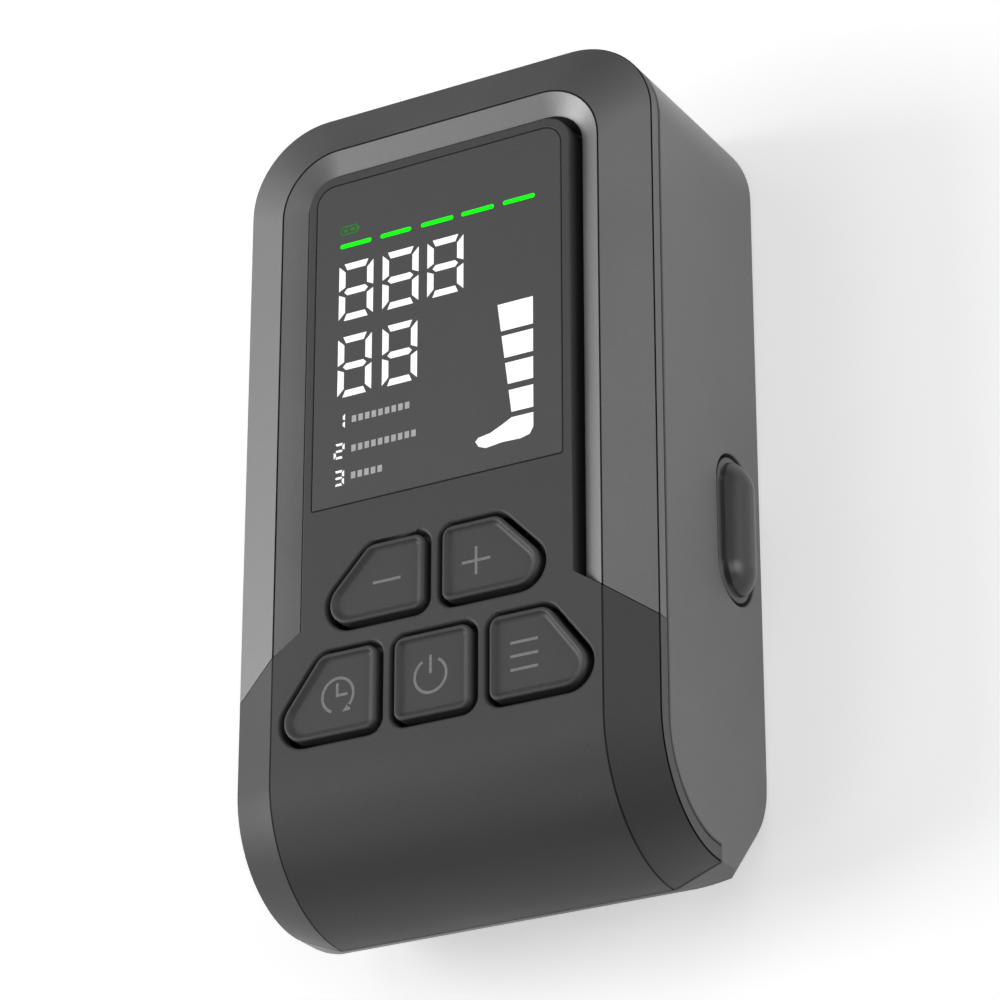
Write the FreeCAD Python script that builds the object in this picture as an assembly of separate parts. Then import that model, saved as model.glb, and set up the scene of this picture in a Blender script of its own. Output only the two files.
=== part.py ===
import FreeCAD, Part
import math
import os

# A hand-held compression therapy pump, lying on its flat back: +X is its right, +Y its upper end, +Z out of
# its face. Millimetres. The origin is under the middle of the body, on the surface that it lies on.

# ---- driving dimensions: the casing -------------------------------------------------------------------
BODY_LENGTH = 118.0
BODY_WIDTH = 64.0
BODY_DEPTH = 34.0  # from the back to the face
WALL = 2.2
CORNER_RADIUS = 12.4  # upper corners, seen from the front
FACE_CORNER_RADIUS = 8.8  # upper corners of the ridge inside the sloped edge
BEVEL_WIDE = 6.9  # the sloped edge round the face
BEVEL_DEEP = 2.7
BAND_DEEP = 2.1  # straight band between the sloped edge and the seam
CHIN_RADIUS = 18.6  # the face's round turn at the lower end
HEEL_RUN = 13.0  # the slope between the lower end and the back, along the body
HEEL_RISE = 12.0
HEEL_END_RADIUS = 9.0
HEEL_BACK_RADIUS = 12.0
BACK_EDGE = 1.2  # slope that breaks the edge round the back
FIT = 0.15  # clearance of a shell's lip in its neighbour
LIP_THICK = 1.2
LIP_ROOT = 1.2
SHADOW_LINE_HIGH = 0.35
SHADOW_LINE_DEEP = 0.4

# ---- driving dimensions: the raised face and its frame -------------------------------------------------
ISLAND_WIDTH = 41.6
ISLAND_CORNER_RADIUS = 4.1
FRAME_SLOPE_WIDE = 4.2  # inner slope of the frame, from its ridge down to the island
FRAME_SLOPE_DEEP = 3.4
FRAME_GAP = 0.12
FRAME_CUT_FROM_END = 38.7  # where the frame's cut meets the island
FRAME_CUT_SLOPE = 0.67  # fall of the cut for each mm outwards

# ---- driving dimensions: the window and the display ----------------------------------------------------
WINDOW_SIDE_MARGIN = 1.3
WINDOW_TOP_MARGIN = 1.4
WINDOW_TO_KEYS = 6.3
WINDOW_CORNER_RADIUS = 2.9
WINDOW_FOOT_RADIUS = 0.4
WINDOW_THICK = 1.4
WINDOW_LEDGE = 1.6
WINDOW_FIT = 0.1
DISPLAY_THICK = 4.6

# ---- driving dimensions: the keys ----------------------------------------------------------------------
KEYS_FROM_END = 49.6  # the upper keys' top, from the lower end
UPPER_KEYS_HIGH = 12.1
LOWER_KEYS_HIGH = 13.2
KEY_ROWS_APART = 2.35
UPPER_KEYS_APART = 1.4
POWER_KEY_WIDTH = 13.0
LOWER_KEYS_APART = 1.4
UPPER_SHOULDER_X = 10.2  # where the slanted side of an outer key starts
UPPER_SLANT = 0.96  # run of the slanted side for each mm down
LOWER_SHOULDER_X = 17.5
LOWER_SLANT = 0.76
KEY_CORNER_RADIUS = 2.2
KEY_SHOULDER_RADIUS = 3.0
KEY_TIP_RADIUS = 3.8
KEY_GAP = 0.5
KEY_PROUD = 0.5
KEY_RIM = 1.0
KEY_TRAY_SLOPE = 0.8
KEY_TRAY_DEEP = 0.3
KEY_TAB = 0.5  # keeper tab's reach beyond the opening
KEY_TAB_WIDTH = 6.0
KEY_TAB_THICK = 1.3
KEY_TAB_PLAY = 0.1
KEY_TRAVEL = 0.6

# ---- driving dimensions: boards, switches and socket ---------------------------------------------------
BOARD_THICK = 1.6
BOARDS_APART = 2.8
UPPER_BOARD_FROM_SIDE = 7.0
UPPER_BOARD_FROM_TOP = 11.0
UPPER_BOARD_FROM_END = 19.0
MAIN_BOARD_FROM_SIDE = 4.0
MAIN_BOARD_FROM_END = 23.55
UPPER_BOARD_CORNER_RADIUS = 3.0
MAIN_BOARD_CORNER_RADIUS = 9.0
BOARD_NOTCH_PLAY = 0.8
SWITCH_WIDTH = 6.0
SWITCH_HIGH = 2.6
SWITCH_STEM_WIDTH = 3.0
SWITCH_STEM_PLAY = 0.1
SWITCH_STEM_INSIDE = 1.2
SOCKET_WIDTH = 8.94
SOCKET_HIGH = 3.26
SOCKET_LENGTH = 7.4
SOCKET_SHELL = 0.3
SOCKET_TONGUE_THICK = 0.7
SOCKET_TONGUE_WIDTH = 6.7
SOCKET_SLOT_PLAY = 0.25
HEADER_WIDTH = 20.0
HEADER_DEEP = 2.5
BUZZER_WIDTH = 9.0
BUZZER_HIGH = 2.8
BUZZER_X = -12.0

# ---- driving dimensions: screws and posts --------------------------------------------------------------
POST_SPLIT_Z = 14.0
POST_RADIUS = 3.0
SCREW_RADIUS = 1.25
SCREW_PLAY = 0.05
SCREW_HEAD_RADIUS = 2.4
SCREW_HEAD_HIGH = 1.6
SCREW_SINK = 2.6  # depth of the counterbore in the back
SCREW_SINK_PLAY = 0.3
SCREW_BITE = 7.0
SCREW_FROM_SIDE = 6.2
SCREW_FROM_END = 18.5
STANDOFF_WIDTH = 3.4
STANDOFF_FROM_SIDE = 6.0
STANDOFF_FROM_TOP = 35.0
STANDOFF_FROM_END = 35.4
CRADLE_THICK = 1.4
CRADLE_HIGH = 4.0
CRADLE_PLAY = 0.2

# ---- driving dimensions: the snap hooks that close the upper end -----------------------------------------
SNAP_WIDTH = 6.0
SNAP_X = 13.0
SNAP_LONG = 3.6  # below the lip's edge
SNAP_BARB_OUT = 0.9
SNAP_BARB_HIGH = 1.6
SNAP_PLAY = 0.15

# ---- driving dimensions: release buttons and latches ---------------------------------------------------
BUTTON_FROM_END = 51.8
BUTTON_Z = 8.8
BUTTON_OPENING_LONG = 21.8
BUTTON_OPENING_WIDE = 10.5
BUTTON_GAP = 0.35
BUTTON_RIM_SUNK = 0.2
BUTTON_RIM_WIDE = 0.9
BUTTON_PROUD = 2.6
BUTTON_DOME_RADIUS = 5.6
BUTTON_DOME_LONG = 19.9
BUTTON_DOME_END_RADIUS = 4.6
BUTTON_KEEPER = 0.6  # the keeper plate's reach beyond each end of the opening
BUTTON_KEEPER_THICK = 1.3
BUTTON_PLAY = 0.3
LATCH_TRAVEL = 1.8
LATCH_WIDTH = 8.0
LATCH_THICK = 2.0
LATCH_PLAY = 0.1
LATCH_LEG_THICK = 1.6
LATCH_BARB_LONG = 1.8
LATCH_BARB_HIGH = 2.2
LATCH_REACH = 9.8  # from the button's inner face in to the hook's leg
LATCH_TENON_LONG = 1.4
LATCH_TENON_WIDE = 4.0
LATCH_TENON_THICK = 1.0
RAIL_THICK = 1.2
RAIL_HIGH = 1.6
SPRING_THICK = 0.2
SPRING_WIDTH = 3.4
SPRING_LONG = 10.0
SPRING_FOOT = 1.2
SPRING_DROP = 3.2  # spring's middle below the button's

# ---- driving dimensions: dock recess and air side ------------------------------------------------------
RECESS_FROM_SIDE = 8.0
RECESS_TOP_FROM_END = 67.0
RECESS_LENGTH = 30.0
RECESS_DEEP = 7.0
RECESS_CORNER_RADIUS = 3.0
HOOK_SHORT_OF_BACK = 1.2
OUTLET_COUNT = 5
OUTLET_APART = 7.6
OUTLET_FROM_RECESS_TOP = 5.0
OUTLET_RADIUS = 2.1
OUTLET_BORE_RADIUS = 1.2
OUTLET_SHORT_OF_BACK = 1.0
OUTLET_PAD_MARGIN = 3.1  # round the row of outlets' middles, through the recess roof
OUTLET_PAD_PLAY = 0.2
GASKET_THICK = 0.8
MANIFOLD_THICK = 3.0
MANIFOLD_MARGIN = 0.6
MANIFOLD_SIDE_MARGIN = 2.4
VALVE_WIDTH = 6.4
VALVE_LENGTH = 9.4
VALVE_BASE_HIGH = 2.2
VALVE_COIL_LENGTH = 6.2
VALVE_COIL_WIDTH = 5.4
PUMP_FROM_END = 24.4
MOTOR_LENGTH = 25.0
MOTOR_WIDTH = 20.0
MOTOR_HIGH = 15.4
MOTOR_X = -22.0
PUMP_HEAD_LENGTH = 17.0
PUMP_HEAD_WIDTH = 14.0
PUMP_HEAD_HIGH = 13.0
PUMP_HEAD_LIFT = 1.2
TUBE_RADIUS = 2.0
TUBE_BORE_RADIUS = 1.3
BARB_RADIUS = 1.3
BARB_LONG = 2.0
TUBE_X = 12.0
BATTERY_WIDTH = 40.0
BATTERY_FROM_TOP = 10.5
BATTERY_FROM_RECESS = 2.3
BATTERY_BEHIND_BOARD = 4.4
BATTERY_CORNER_RADIUS = 3.0
VENT_COUNT = 5
VENT_WIDTH = 1.2
VENT_LENGTH = 8.0
VENT_APART = 3.0

# ---- places worked out from them -----------------------------------------------------------------------
HALF_LENGTH = BODY_LENGTH / 2
HALF_WIDTH = BODY_WIDTH / 2
FACE_Z = BODY_DEPTH
SEAM_Z = FACE_Z - BEVEL_DEEP - BAND_DEEP
CHIN_Y = -HALF_LENGTH + CHIN_RADIUS
CHIN_Z = FACE_Z - CHIN_RADIUS
RIDGE_HALF_WIDTH = HALF_WIDTH - BEVEL_WIDE
RIDGE_TOP_Y = HALF_LENGTH - BEVEL_WIDE
ISLAND_TOP_Y = RIDGE_TOP_Y - FRAME_SLOPE_WIDE
FRAME_CUT_Y = -HALF_LENGTH + FRAME_CUT_FROM_END
UPPER_KEYS_TOP = -HALF_LENGTH + KEYS_FROM_END
LOWER_KEYS_TOP = UPPER_KEYS_TOP - UPPER_KEYS_HIGH - KEY_ROWS_APART
WINDOW_HALF_WIDTH = ISLAND_WIDTH / 2 - WINDOW_SIDE_MARGIN
WINDOW_TOP_Y = ISLAND_TOP_Y - WINDOW_TOP_MARGIN
WINDOW_FOOT_Y = UPPER_KEYS_TOP + WINDOW_TO_KEYS
FACE_UNDER_Z = FACE_Z - WALL
KEY_BOTTOM_Z = FACE_UNDER_Z - KEY_TAB_PLAY - KEY_TAB_THICK
UPPER_BOARD_FRONT_Z = SEAM_Z - WALL
UPPER_BOARD_BACK_Z = UPPER_BOARD_FRONT_Z - BOARD_THICK
MAIN_BOARD_FRONT_Z = UPPER_BOARD_BACK_Z - BOARDS_APART
MAIN_BOARD_BACK_Z = MAIN_BOARD_FRONT_Z - BOARD_THICK
BUTTON_Y = -HALF_LENGTH + BUTTON_FROM_END
BUTTON_INNER_X = HALF_WIDTH - WALL - BUTTON_PLAY - BUTTON_KEEPER_THICK
RECESS_HALF_WIDTH = HALF_WIDTH - RECESS_FROM_SIDE
RECESS_WALL_X = RECESS_HALF_WIDTH + WALL
RECESS_ROOF_Z = RECESS_DEEP + WALL
RECESS_TOP_Y = -HALF_LENGTH + RECESS_TOP_FROM_END
RECESS_FOOT_Y = RECESS_TOP_Y - RECESS_LENGTH
OUTLET_Y = RECESS_TOP_Y - OUTLET_FROM_RECESS_TOP
LATCH_BOTTOM_Z = RECESS_ROOF_Z + LATCH_PLAY
LATCH_LEG_X = BUTTON_INNER_X - LATCH_REACH
MANIFOLD_Z = RECESS_ROOF_Z + GASKET_THICK
MANIFOLD_TOP_Y = RECESS_TOP_Y - MANIFOLD_MARGIN
MANIFOLD_FOOT_Y = RECESS_FOOT_Y + MANIFOLD_MARGIN
TUBE_Z = MANIFOLD_Z + MANIFOLD_THICK / 2
PUMP_Y = -HALF_LENGTH + PUMP_FROM_END
PUMP_HEAD_X = MOTOR_X + MOTOR_LENGTH
BATTERY_TOP_Y = HALF_LENGTH - BATTERY_FROM_TOP
BATTERY_FOOT_Y = RECESS_TOP_Y + WALL + BATTERY_FROM_RECESS
SOCKET_Z = MAIN_BOARD_BACK_Z - SOCKET_HIGH / 2
SPRING_Z = BUTTON_Z - SPRING_DROP
BIG = 200.0  # reach of the cutting blocks, past every side of the body
ROUND_END_FLAT = 0.001  # half of the flat left in the middle of a full round end

os.makedirs("parts", exist_ok=True)


# ---- shapes that the pieces share ----------------------------------------------------------------------
def vec(x, y, z):
    return FreeCAD.Vector(x, y, z)


def rounded(points, radii):
    """A closed wire through the points, with each corner rounded to its own radius, or sharp at 0."""
    corners = []
    for i, radius in enumerate(radii):
        here = points[i]
        back = (points[i - 1] - here).normalize()
        ahead = (points[(i + 1) % len(points)] - here).normalize()
        half = back.getAngle(ahead) / 2
        reach = radius / math.tan(half)
        middle = (back + ahead).normalize() * (radius / math.sin(half) - radius)
        corners.append((here + back * reach, here + middle, here + ahead * reach))
    edges = []
    for i, (start, middle, end) in enumerate(corners):
        if radii[i] > 0:
            edges.append(Part.Arc(start, middle, end).toShape())
        edges.append(Part.makeLine(end, corners[(i + 1) % len(corners)][0]))
    return Part.Wire(edges)


def offset_wire(wire, distance):
    return wire.makeOffset2D(distance)


def prism(wire, height):
    return Part.Face(wire).extrude(vec(0, 0, height))


def plate(x0, x1, y0, y1, z0, z1, radius=0):
    """An upright block with its four upright edges rounded."""
    points = [vec(x0, y0, z0), vec(x1, y0, z0), vec(x1, y1, z0), vec(x0, y1, z0)]
    return prism(rounded(points, [radius] * 4), z1 - z0)


def centred(width, length, x, y, z0, z1, radius=0):
    return plate(x - width / 2, x + width / 2, y - length / 2, y + length / 2, z0, z1, radius)


def upright(radius, x, y, z0, z1):
    return Part.makeCylinder(radius, z1 - z0, vec(x, y, z0))


def arch(half_width, top, foot, radius, z):
    """The outline that the casing, the frame and the face share: square at the foot, round at the top."""
    points = [
        vec(-half_width, foot, z),
        vec(half_width, foot, z),
        vec(half_width, top, z),
        vec(-half_width, top, z),
    ]
    return rounded(points, [0, 0, radius, radius])


def fused(shapes):
    first, rest = shapes[0], shapes[1:]
    return first.fuse(rest).removeSplitter() if rest else first


def mirrored(shape):
    return shape.mirror(vec(0, 0, 0), vec(1, 0, 0))


def edges_at(shape, z, tolerance=1e-4):
    """The edges that lie wholly at one height."""
    found = []
    for edge in shape.Edges:
        box = edge.BoundBox
        if abs(box.ZMin - z) < tolerance and abs(box.ZMax - z) < tolerance:
            found.append(edge)
    return found


# ---- the casing's outer form, drawn in by any wall -----------------------------------------------------
def bevel_corner(inset):
    """Half width of the flat face, and height of the sloped edge's outer side, on the form drawn in."""
    slope = math.atan2(BEVEL_DEEP, BEVEL_WIDE)
    half = HALF_WIDTH - BEVEL_WIDE - inset * math.tan(slope / 2)
    height = FACE_Z - BEVEL_DEEP - inset * math.tan((math.pi / 2 - slope) / 2)
    return half, height


def casing_form(inset):
    """The closed outer form, or the hollow that leaves a wall of the inset's thickness."""
    half_width = HALF_WIDTH - inset
    top = HALF_LENGTH - inset
    face = FACE_Z - inset
    flat_half, bevel_z = bevel_corner(inset)
    flat_top = HALF_LENGTH - (HALF_WIDTH - flat_half)
    upper = prism(arch(half_width, top, CHIN_Y, CORNER_RADIUS - inset, CHIN_Z), bevel_z - CHIN_Z)
    outer = arch(half_width, top, CHIN_Y, CORNER_RADIUS - inset, bevel_z)
    inner = arch(flat_half, flat_top, CHIN_Y, FACE_CORNER_RADIUS, face)
    bevel = Part.makeLoft([outer, inner], True, True)
    section = [
        vec(-half_width, CHIN_Y, CHIN_Z),
        vec(half_width, CHIN_Y, CHIN_Z),
        vec(half_width, CHIN_Y, bevel_z),
        vec(flat_half, CHIN_Y, face),
        vec(-flat_half, CHIN_Y, face),
        vec(-half_width, CHIN_Y, bevel_z),
    ]
    chin_face = Part.Face(Part.makePolygon(section + section[:1]))
    chin = chin_face.revolve(vec(0, CHIN_Y, CHIN_Z), vec(1, 0, 0), 90)
    return fused([upper, bevel, chin, lower_form(inset, half_width, top, flat_half, bevel_z)])


def side_wire(inset):
    """The side view behind the chin: lower end, sloped heel and back, drawn in by the wall."""
    foot = -HALF_LENGTH
    points = [
        vec(-BIG, BIG, 0),
        vec(-BIG, foot + HEEL_RUN, 0),
        vec(-BIG, foot, HEEL_RISE),
        vec(-BIG, foot, BIG),
        vec(-BIG, BIG, BIG),
    ]
    wire = rounded(points, [0, HEEL_BACK_RADIUS, HEEL_END_RADIUS, 0, 0])
    return offset_wire(wire, -inset) if inset else wire


def lower_form(inset, half_width, top, flat_half, bevel_z):
    """The deep half below the chin's end: the outline seen from the front, turned into the back at the heel."""
    foot = -HALF_LENGTH + inset
    bevel_foot = CHIN_Y - (bevel_z - CHIN_Z)
    radius = CORNER_RADIUS - inset
    outline = [
        vec(-flat_half, foot, inset),
        vec(flat_half, foot, inset),
        vec(half_width, bevel_foot, inset),
        vec(half_width, top, inset),
        vec(-half_width, top, inset),
        vec(-half_width, bevel_foot, inset),
    ]
    block = prism(rounded(outline, [0, 0, 0, radius, radius, 0]), CHIN_Z - inset)
    heel = Part.Face(side_wire(inset)).extrude(vec(2 * BIG, 0, 0))
    return block.common(heel)


def below_seam(drop):
    """Everything behind the seam between the shells, with the seam moved back by the drop."""
    seam = SEAM_Z - drop
    radius = seam - CHIN_Z
    end = CHIN_Z - drop
    turn = CHIN_Y - radius
    slant = radius * math.sin(math.pi / 4)
    arc = Part.Arc(
        vec(-BIG, CHIN_Y, seam), vec(-BIG, CHIN_Y - slant, CHIN_Z + slant), vec(-BIG, turn, CHIN_Z)
    ).toShape()
    rest = [vec(-BIG, turn, CHIN_Z)]
    if drop:
        rest.append(vec(-BIG, turn, end))
    rest += [vec(-BIG, -BIG, end), vec(-BIG, -BIG, -BIG), vec(-BIG, BIG, -BIG), vec(-BIG, BIG, seam)]
    rest.append(vec(-BIG, CHIN_Y, seam))
    wire = Part.Wire([arc] + Part.makePolygon(rest).Edges)
    return Part.Face(wire).extrude(vec(2 * BIG, 0, 0))


def frame_zone(grow, floor):
    """The space over the floor that the frame takes: round the island and above the slanted cut."""
    half = ISLAND_WIDTH / 2 - grow
    cut = FRAME_CUT_Y - grow * math.hypot(1, FRAME_CUT_SLOPE)
    outer_cut = cut - FRAME_CUT_SLOPE * (BIG - ISLAND_WIDTH / 2)
    inner_cut = cut + FRAME_CUT_SLOPE * (ISLAND_WIDTH / 2 - half)
    points = [
        vec(-BIG, outer_cut, floor),
        vec(-half, inner_cut, floor),
        vec(half, inner_cut, floor),
        vec(BIG, outer_cut, floor),
        vec(BIG, BIG, floor),
        vec(-BIG, BIG, floor),
    ]
    around = prism(rounded(points, [0] * 6), BIG)
    radius = ISLAND_CORNER_RADIUS - grow
    island = prism(arch(half, ISLAND_TOP_Y - grow, -BIG, radius, floor), BIG)
    return around.cut(island)


# ---- keys: one outline each, shared by opening and key -------------------------------------------------
def outer_key_outline(inner_x, shoulder_x, slant, top, high, z):
    """A key with an upright inner side, and an outer side that slants out and down to a round tip."""
    foot = top - high
    tip_x = shoulder_x + slant * high
    points = [vec(inner_x, foot, z), vec(tip_x, foot, z), vec(shoulder_x, top, z), vec(inner_x, top, z)]
    return rounded(points, [KEY_CORNER_RADIUS, KEY_TIP_RADIUS, KEY_SHOULDER_RADIUS, KEY_CORNER_RADIUS])


def key_outlines(z):
    upper_x = UPPER_KEYS_APART / 2
    lower_x = POWER_KEY_WIDTH / 2 + LOWER_KEYS_APART
    plus = outer_key_outline(upper_x, UPPER_SHOULDER_X, UPPER_SLANT, UPPER_KEYS_TOP, UPPER_KEYS_HIGH, z)
    mode = outer_key_outline(lower_x, LOWER_SHOULDER_X, LOWER_SLANT, LOWER_KEYS_TOP, LOWER_KEYS_HIGH, z)
    half = POWER_KEY_WIDTH / 2
    foot = LOWER_KEYS_TOP - LOWER_KEYS_HIGH
    corners = [
        vec(-half, foot, z),
        vec(half, foot, z),
        vec(half, LOWER_KEYS_TOP, z),
        vec(-half, LOWER_KEYS_TOP, z),
    ]
    power = rounded(corners, [KEY_CORNER_RADIUS] * 4)
    return {
        "minus": mirrored(plus),
        "plus": plus,
        "timer": mirrored(mode),
        "power": power,
        "mode": mode,
    }


def key_centre(name):
    box = key_outlines(0)[name].BoundBox
    return box.Center.x, box.Center.y


def key_cap(name):
    """The dished cap, with a keeper tab under the face above and below its opening."""
    top = FACE_Z + KEY_PROUD
    outline = offset_wire(key_outlines(KEY_BOTTOM_Z)[name], -KEY_GAP)
    cap = prism(outline, top - KEY_BOTTOM_Z)
    x, y = key_centre(name)
    length = cap.BoundBox.YLength + 2 * (KEY_GAP + KEY_TAB)
    tabs = centred(KEY_TAB_WIDTH, length, x, y, KEY_BOTTOM_Z, KEY_BOTTOM_Z + KEY_TAB_THICK)
    rim = offset_wire(key_outlines(top)[name], -KEY_GAP - KEY_RIM)
    tray = offset_wire(key_outlines(top - KEY_TRAY_DEEP)[name], -KEY_GAP - KEY_RIM - KEY_TRAY_SLOPE)
    dish = Part.makeLoft([rim, tray], True, True)
    return fused([cap, tabs]).cut(dish)


def switch_stem(name):
    x, y = key_centre(name)
    bottom = UPPER_BOARD_FRONT_Z + SWITCH_HIGH - SWITCH_STEM_INSIDE
    return centred(SWITCH_STEM_WIDTH, SWITCH_STEM_WIDTH, x, y, bottom, KEY_BOTTOM_Z)


def tact_switches():
    """Five square switch bodies, each with the well that its stem moves in."""
    bodies = []
    for name in key_outlines(0):
        x, y = key_centre(name)
        top = UPPER_BOARD_FRONT_Z + SWITCH_HIGH
        body = centred(SWITCH_WIDTH, SWITCH_WIDTH, x, y, UPPER_BOARD_FRONT_Z, top)
        bottom = top - SWITCH_STEM_INSIDE - KEY_TRAVEL - SWITCH_STEM_PLAY
        well_width = SWITCH_STEM_WIDTH + 2 * SWITCH_STEM_PLAY
        well = centred(well_width, well_width, x, y, bottom, top)
        bodies.append(body.cut(well))
    return Part.makeCompound(bodies)


# ---- casing pieces -------------------------------------------------------------------------------------
def case_screw_places():
    x = HALF_WIDTH - SCREW_FROM_SIDE
    y = -HALF_LENGTH + SCREW_FROM_END
    return [(-x, y), (x, y)]


def standoff_places():
    x = HALF_WIDTH - STANDOFF_FROM_SIDE
    rows = (HALF_LENGTH - STANDOFF_FROM_TOP, -HALF_LENGTH + STANDOFF_FROM_END)
    return [(side * x, y) for y in rows for side in (-1, 1)]


def outlet_places():
    first = -(OUTLET_COUNT - 1) / 2
    return [((first + i) * OUTLET_APART, OUTLET_Y) for i in range(OUTLET_COUNT)]


def window_wire(grow, z):
    half = WINDOW_HALF_WIDTH + grow
    top = WINDOW_TOP_Y + grow
    foot = WINDOW_FOOT_Y - grow
    points = [vec(-half, foot, z), vec(half, foot, z), vec(half, top, z), vec(-half, top, z)]
    foot_radius = max(WINDOW_FOOT_RADIUS + grow, 0)
    top_radius = WINDOW_CORNER_RADIUS + grow
    return rounded(points, [foot_radius, foot_radius, top_radius, top_radius])


def snap_hooks(grow):
    """Two hooks on the lip's upper run, or the pockets in the rear wall that their barbs catch in."""
    outer = HALF_LENGTH - WALL - FIT
    inner = outer - LIP_THICK
    top = SEAM_Z - WALL
    low = top - SNAP_LONG
    barb_top = low + SNAP_BARB_HIGH
    half = SNAP_WIDTH / 2 + grow
    profile = [
        vec(-half, inner, top),
        vec(-half, inner, low),
        vec(-half, outer, low - grow),
        vec(-half, outer + SNAP_BARB_OUT + grow, barb_top - SNAP_BARB_HIGH / 3),
        vec(-half, outer + SNAP_BARB_OUT + grow, barb_top + grow),
        vec(-half, outer, barb_top + grow),
        vec(-half, outer, top),
    ]
    hook = Part.Face(Part.makePolygon(profile + profile[:1])).extrude(vec(2 * half, 0, 0))
    hooks = []
    for x in (-SNAP_X, SNAP_X):
        placed = hook.copy()
        placed.translate(vec(x, 0, 0))
        hooks.append(placed)
    return hooks


def front_cover():
    """Raised face, chin and ledge under the frame, as one thin shell with its lip, hooks and screw posts."""
    solid = casing_form(0).cut(below_seam(0))
    layer = casing_form(WALL + FIT).common(below_seam(0)).cut(below_seam(WALL))
    root = casing_form(WALL / 2).common(below_seam(-LIP_ROOT)).cut(below_seam(0))
    hollow = casing_form(WALL).cut(below_seam(-LIP_ROOT)).fuse(casing_form(WALL + FIT + LIP_THICK))
    hollow = hollow.cut(frame_zone(WALL, SEAM_Z - WALL))
    cover = fused([solid, layer, root]).cut(frame_zone(0, SEAM_Z)).cut(hollow)
    cutters = [prism(window_wire(0, FACE_Z - WINDOW_THICK), BIG)]
    cutters.append(prism(window_wire(-WINDOW_LEDGE, 0), BIG))
    for wire in key_outlines(FACE_Z).values():
        through = wire.copy()
        through.translate(vec(0, 0, -2 * WALL))
        cutters.append(prism(through, BIG))
    cover = cover.cut(cutters)
    posts = []
    for x, y in case_screw_places():
        post = upright(POST_RADIUS, x, y, POST_SPLIT_Z, FACE_Z).common(casing_form(WALL / 2))
        posts.append(post.cut(frame_zone(WALL / 2, SEAM_Z - WALL / 2)))
    cover = fused([cover] + posts + snap_hooks(0))
    pilots = [upright(SCREW_RADIUS + SCREW_PLAY, x, y, POST_SPLIT_Z, POST_SPLIT_Z + SCREW_BITE)
              for x, y in case_screw_places()]
    return cover.cut(pilots)


def bezel_trim():
    """The frame over the upper end and down both sides, sloped outside and in."""
    frame = casing_form(0).cut(below_seam(0)).common(frame_zone(-FRAME_GAP, SEAM_Z))
    low = FACE_Z - FRAME_SLOPE_DEEP
    ridge = arch(RIDGE_HALF_WIDTH, RIDGE_TOP_Y, -HALF_LENGTH, FACE_CORNER_RADIUS, FACE_Z)
    half = ISLAND_WIDTH / 2 + FRAME_GAP
    groove = arch(half, ISLAND_TOP_Y + FRAME_GAP, -HALF_LENGTH, ISLAND_CORNER_RADIUS + FRAME_GAP, low)
    return frame.cut(Part.makeLoft([groove, ridge], True, True))


def button_slot(grow, x0, x1):
    """A pill-shaped bar through the side wall, round the release button's axis."""
    long = BUTTON_OPENING_LONG / 2 + grow
    wide = BUTTON_OPENING_WIDE / 2 + grow
    points = [
        vec(x0, BUTTON_Y - long, BUTTON_Z - wide),
        vec(x0, BUTTON_Y + long, BUTTON_Z - wide),
        vec(x0, BUTTON_Y + long, BUTTON_Z + wide),
        vec(x0, BUTTON_Y - long, BUTTON_Z + wide),
    ]
    return Part.Face(rounded(points, [wide - ROUND_END_FLAT] * 4)).extrude(vec(x1 - x0, 0, 0))


def socket_slot(grow, y0, y1):
    half = SOCKET_WIDTH / 2 + grow
    high = SOCKET_HIGH / 2 + grow
    points = [
        vec(-half, y0, SOCKET_Z - high),
        vec(half, y0, SOCKET_Z - high),
        vec(half, y0, SOCKET_Z + high),
        vec(-half, y0, SOCKET_Z + high),
    ]
    return Part.Face(rounded(points, [high * 0.98] * 4)).extrude(vec(0, y1 - y0, 0))


def recess_block(grow, z0, z1):
    radius = RECESS_CORNER_RADIUS + grow
    half = RECESS_HALF_WIDTH + grow
    return plate(-half, half, RECESS_FOOT_Y - grow, RECESS_TOP_Y + grow, z0, z1, radius)


def hook_slot():
    """The hole in the recess roof that the right hook hangs through, long enough for its travel."""
    x0 = LATCH_LEG_X - LATCH_TRAVEL - BUTTON_PLAY
    x1 = LATCH_LEG_X + LATCH_LEG_THICK + LATCH_BARB_LONG + BUTTON_PLAY
    half = LATCH_WIDTH / 2 + BUTTON_PLAY
    return plate(x0, x1, BUTTON_Y - half, BUTTON_Y + half, RECESS_DEEP - WALL, RECESS_ROOF_Z + WALL)


def latch_rails():
    """Two ribs on the recess roof that guide the right slide."""
    x0 = LATCH_LEG_X - LATCH_TRAVEL
    inner = LATCH_WIDTH / 2 + LATCH_PLAY
    rails = []
    for side in (-1, 1):
        y0, y1 = sorted((BUTTON_Y + side * inner, BUTTON_Y + side * (inner + RAIL_THICK)))
        rails.append(plate(x0, RECESS_WALL_X, y0, y1, RECESS_ROOF_Z - WALL / 2, RECESS_ROOF_Z + RAIL_HIGH))
    return rails


def outlet_pad(grow, z0, z1):
    """The long block round the row of outlets, or the opening that it goes through."""
    margin = OUTLET_PAD_MARGIN + grow
    half = outlet_places()[-1][0] + margin
    return plate(-half, half, OUTLET_Y - margin, OUTLET_Y + margin, z0, z1)


def vents():
    """A row of slots in the back under the pump head."""
    first = -(VENT_COUNT - 1) / 2
    slots = []
    for i in range(VENT_COUNT):
        x = PUMP_HEAD_X + PUMP_HEAD_LENGTH / 2 + (first + i) * VENT_APART
        slots.append(centred(VENT_WIDTH, VENT_LENGTH, x, PUMP_Y, -WALL, 2 * WALL))
    return slots


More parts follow.
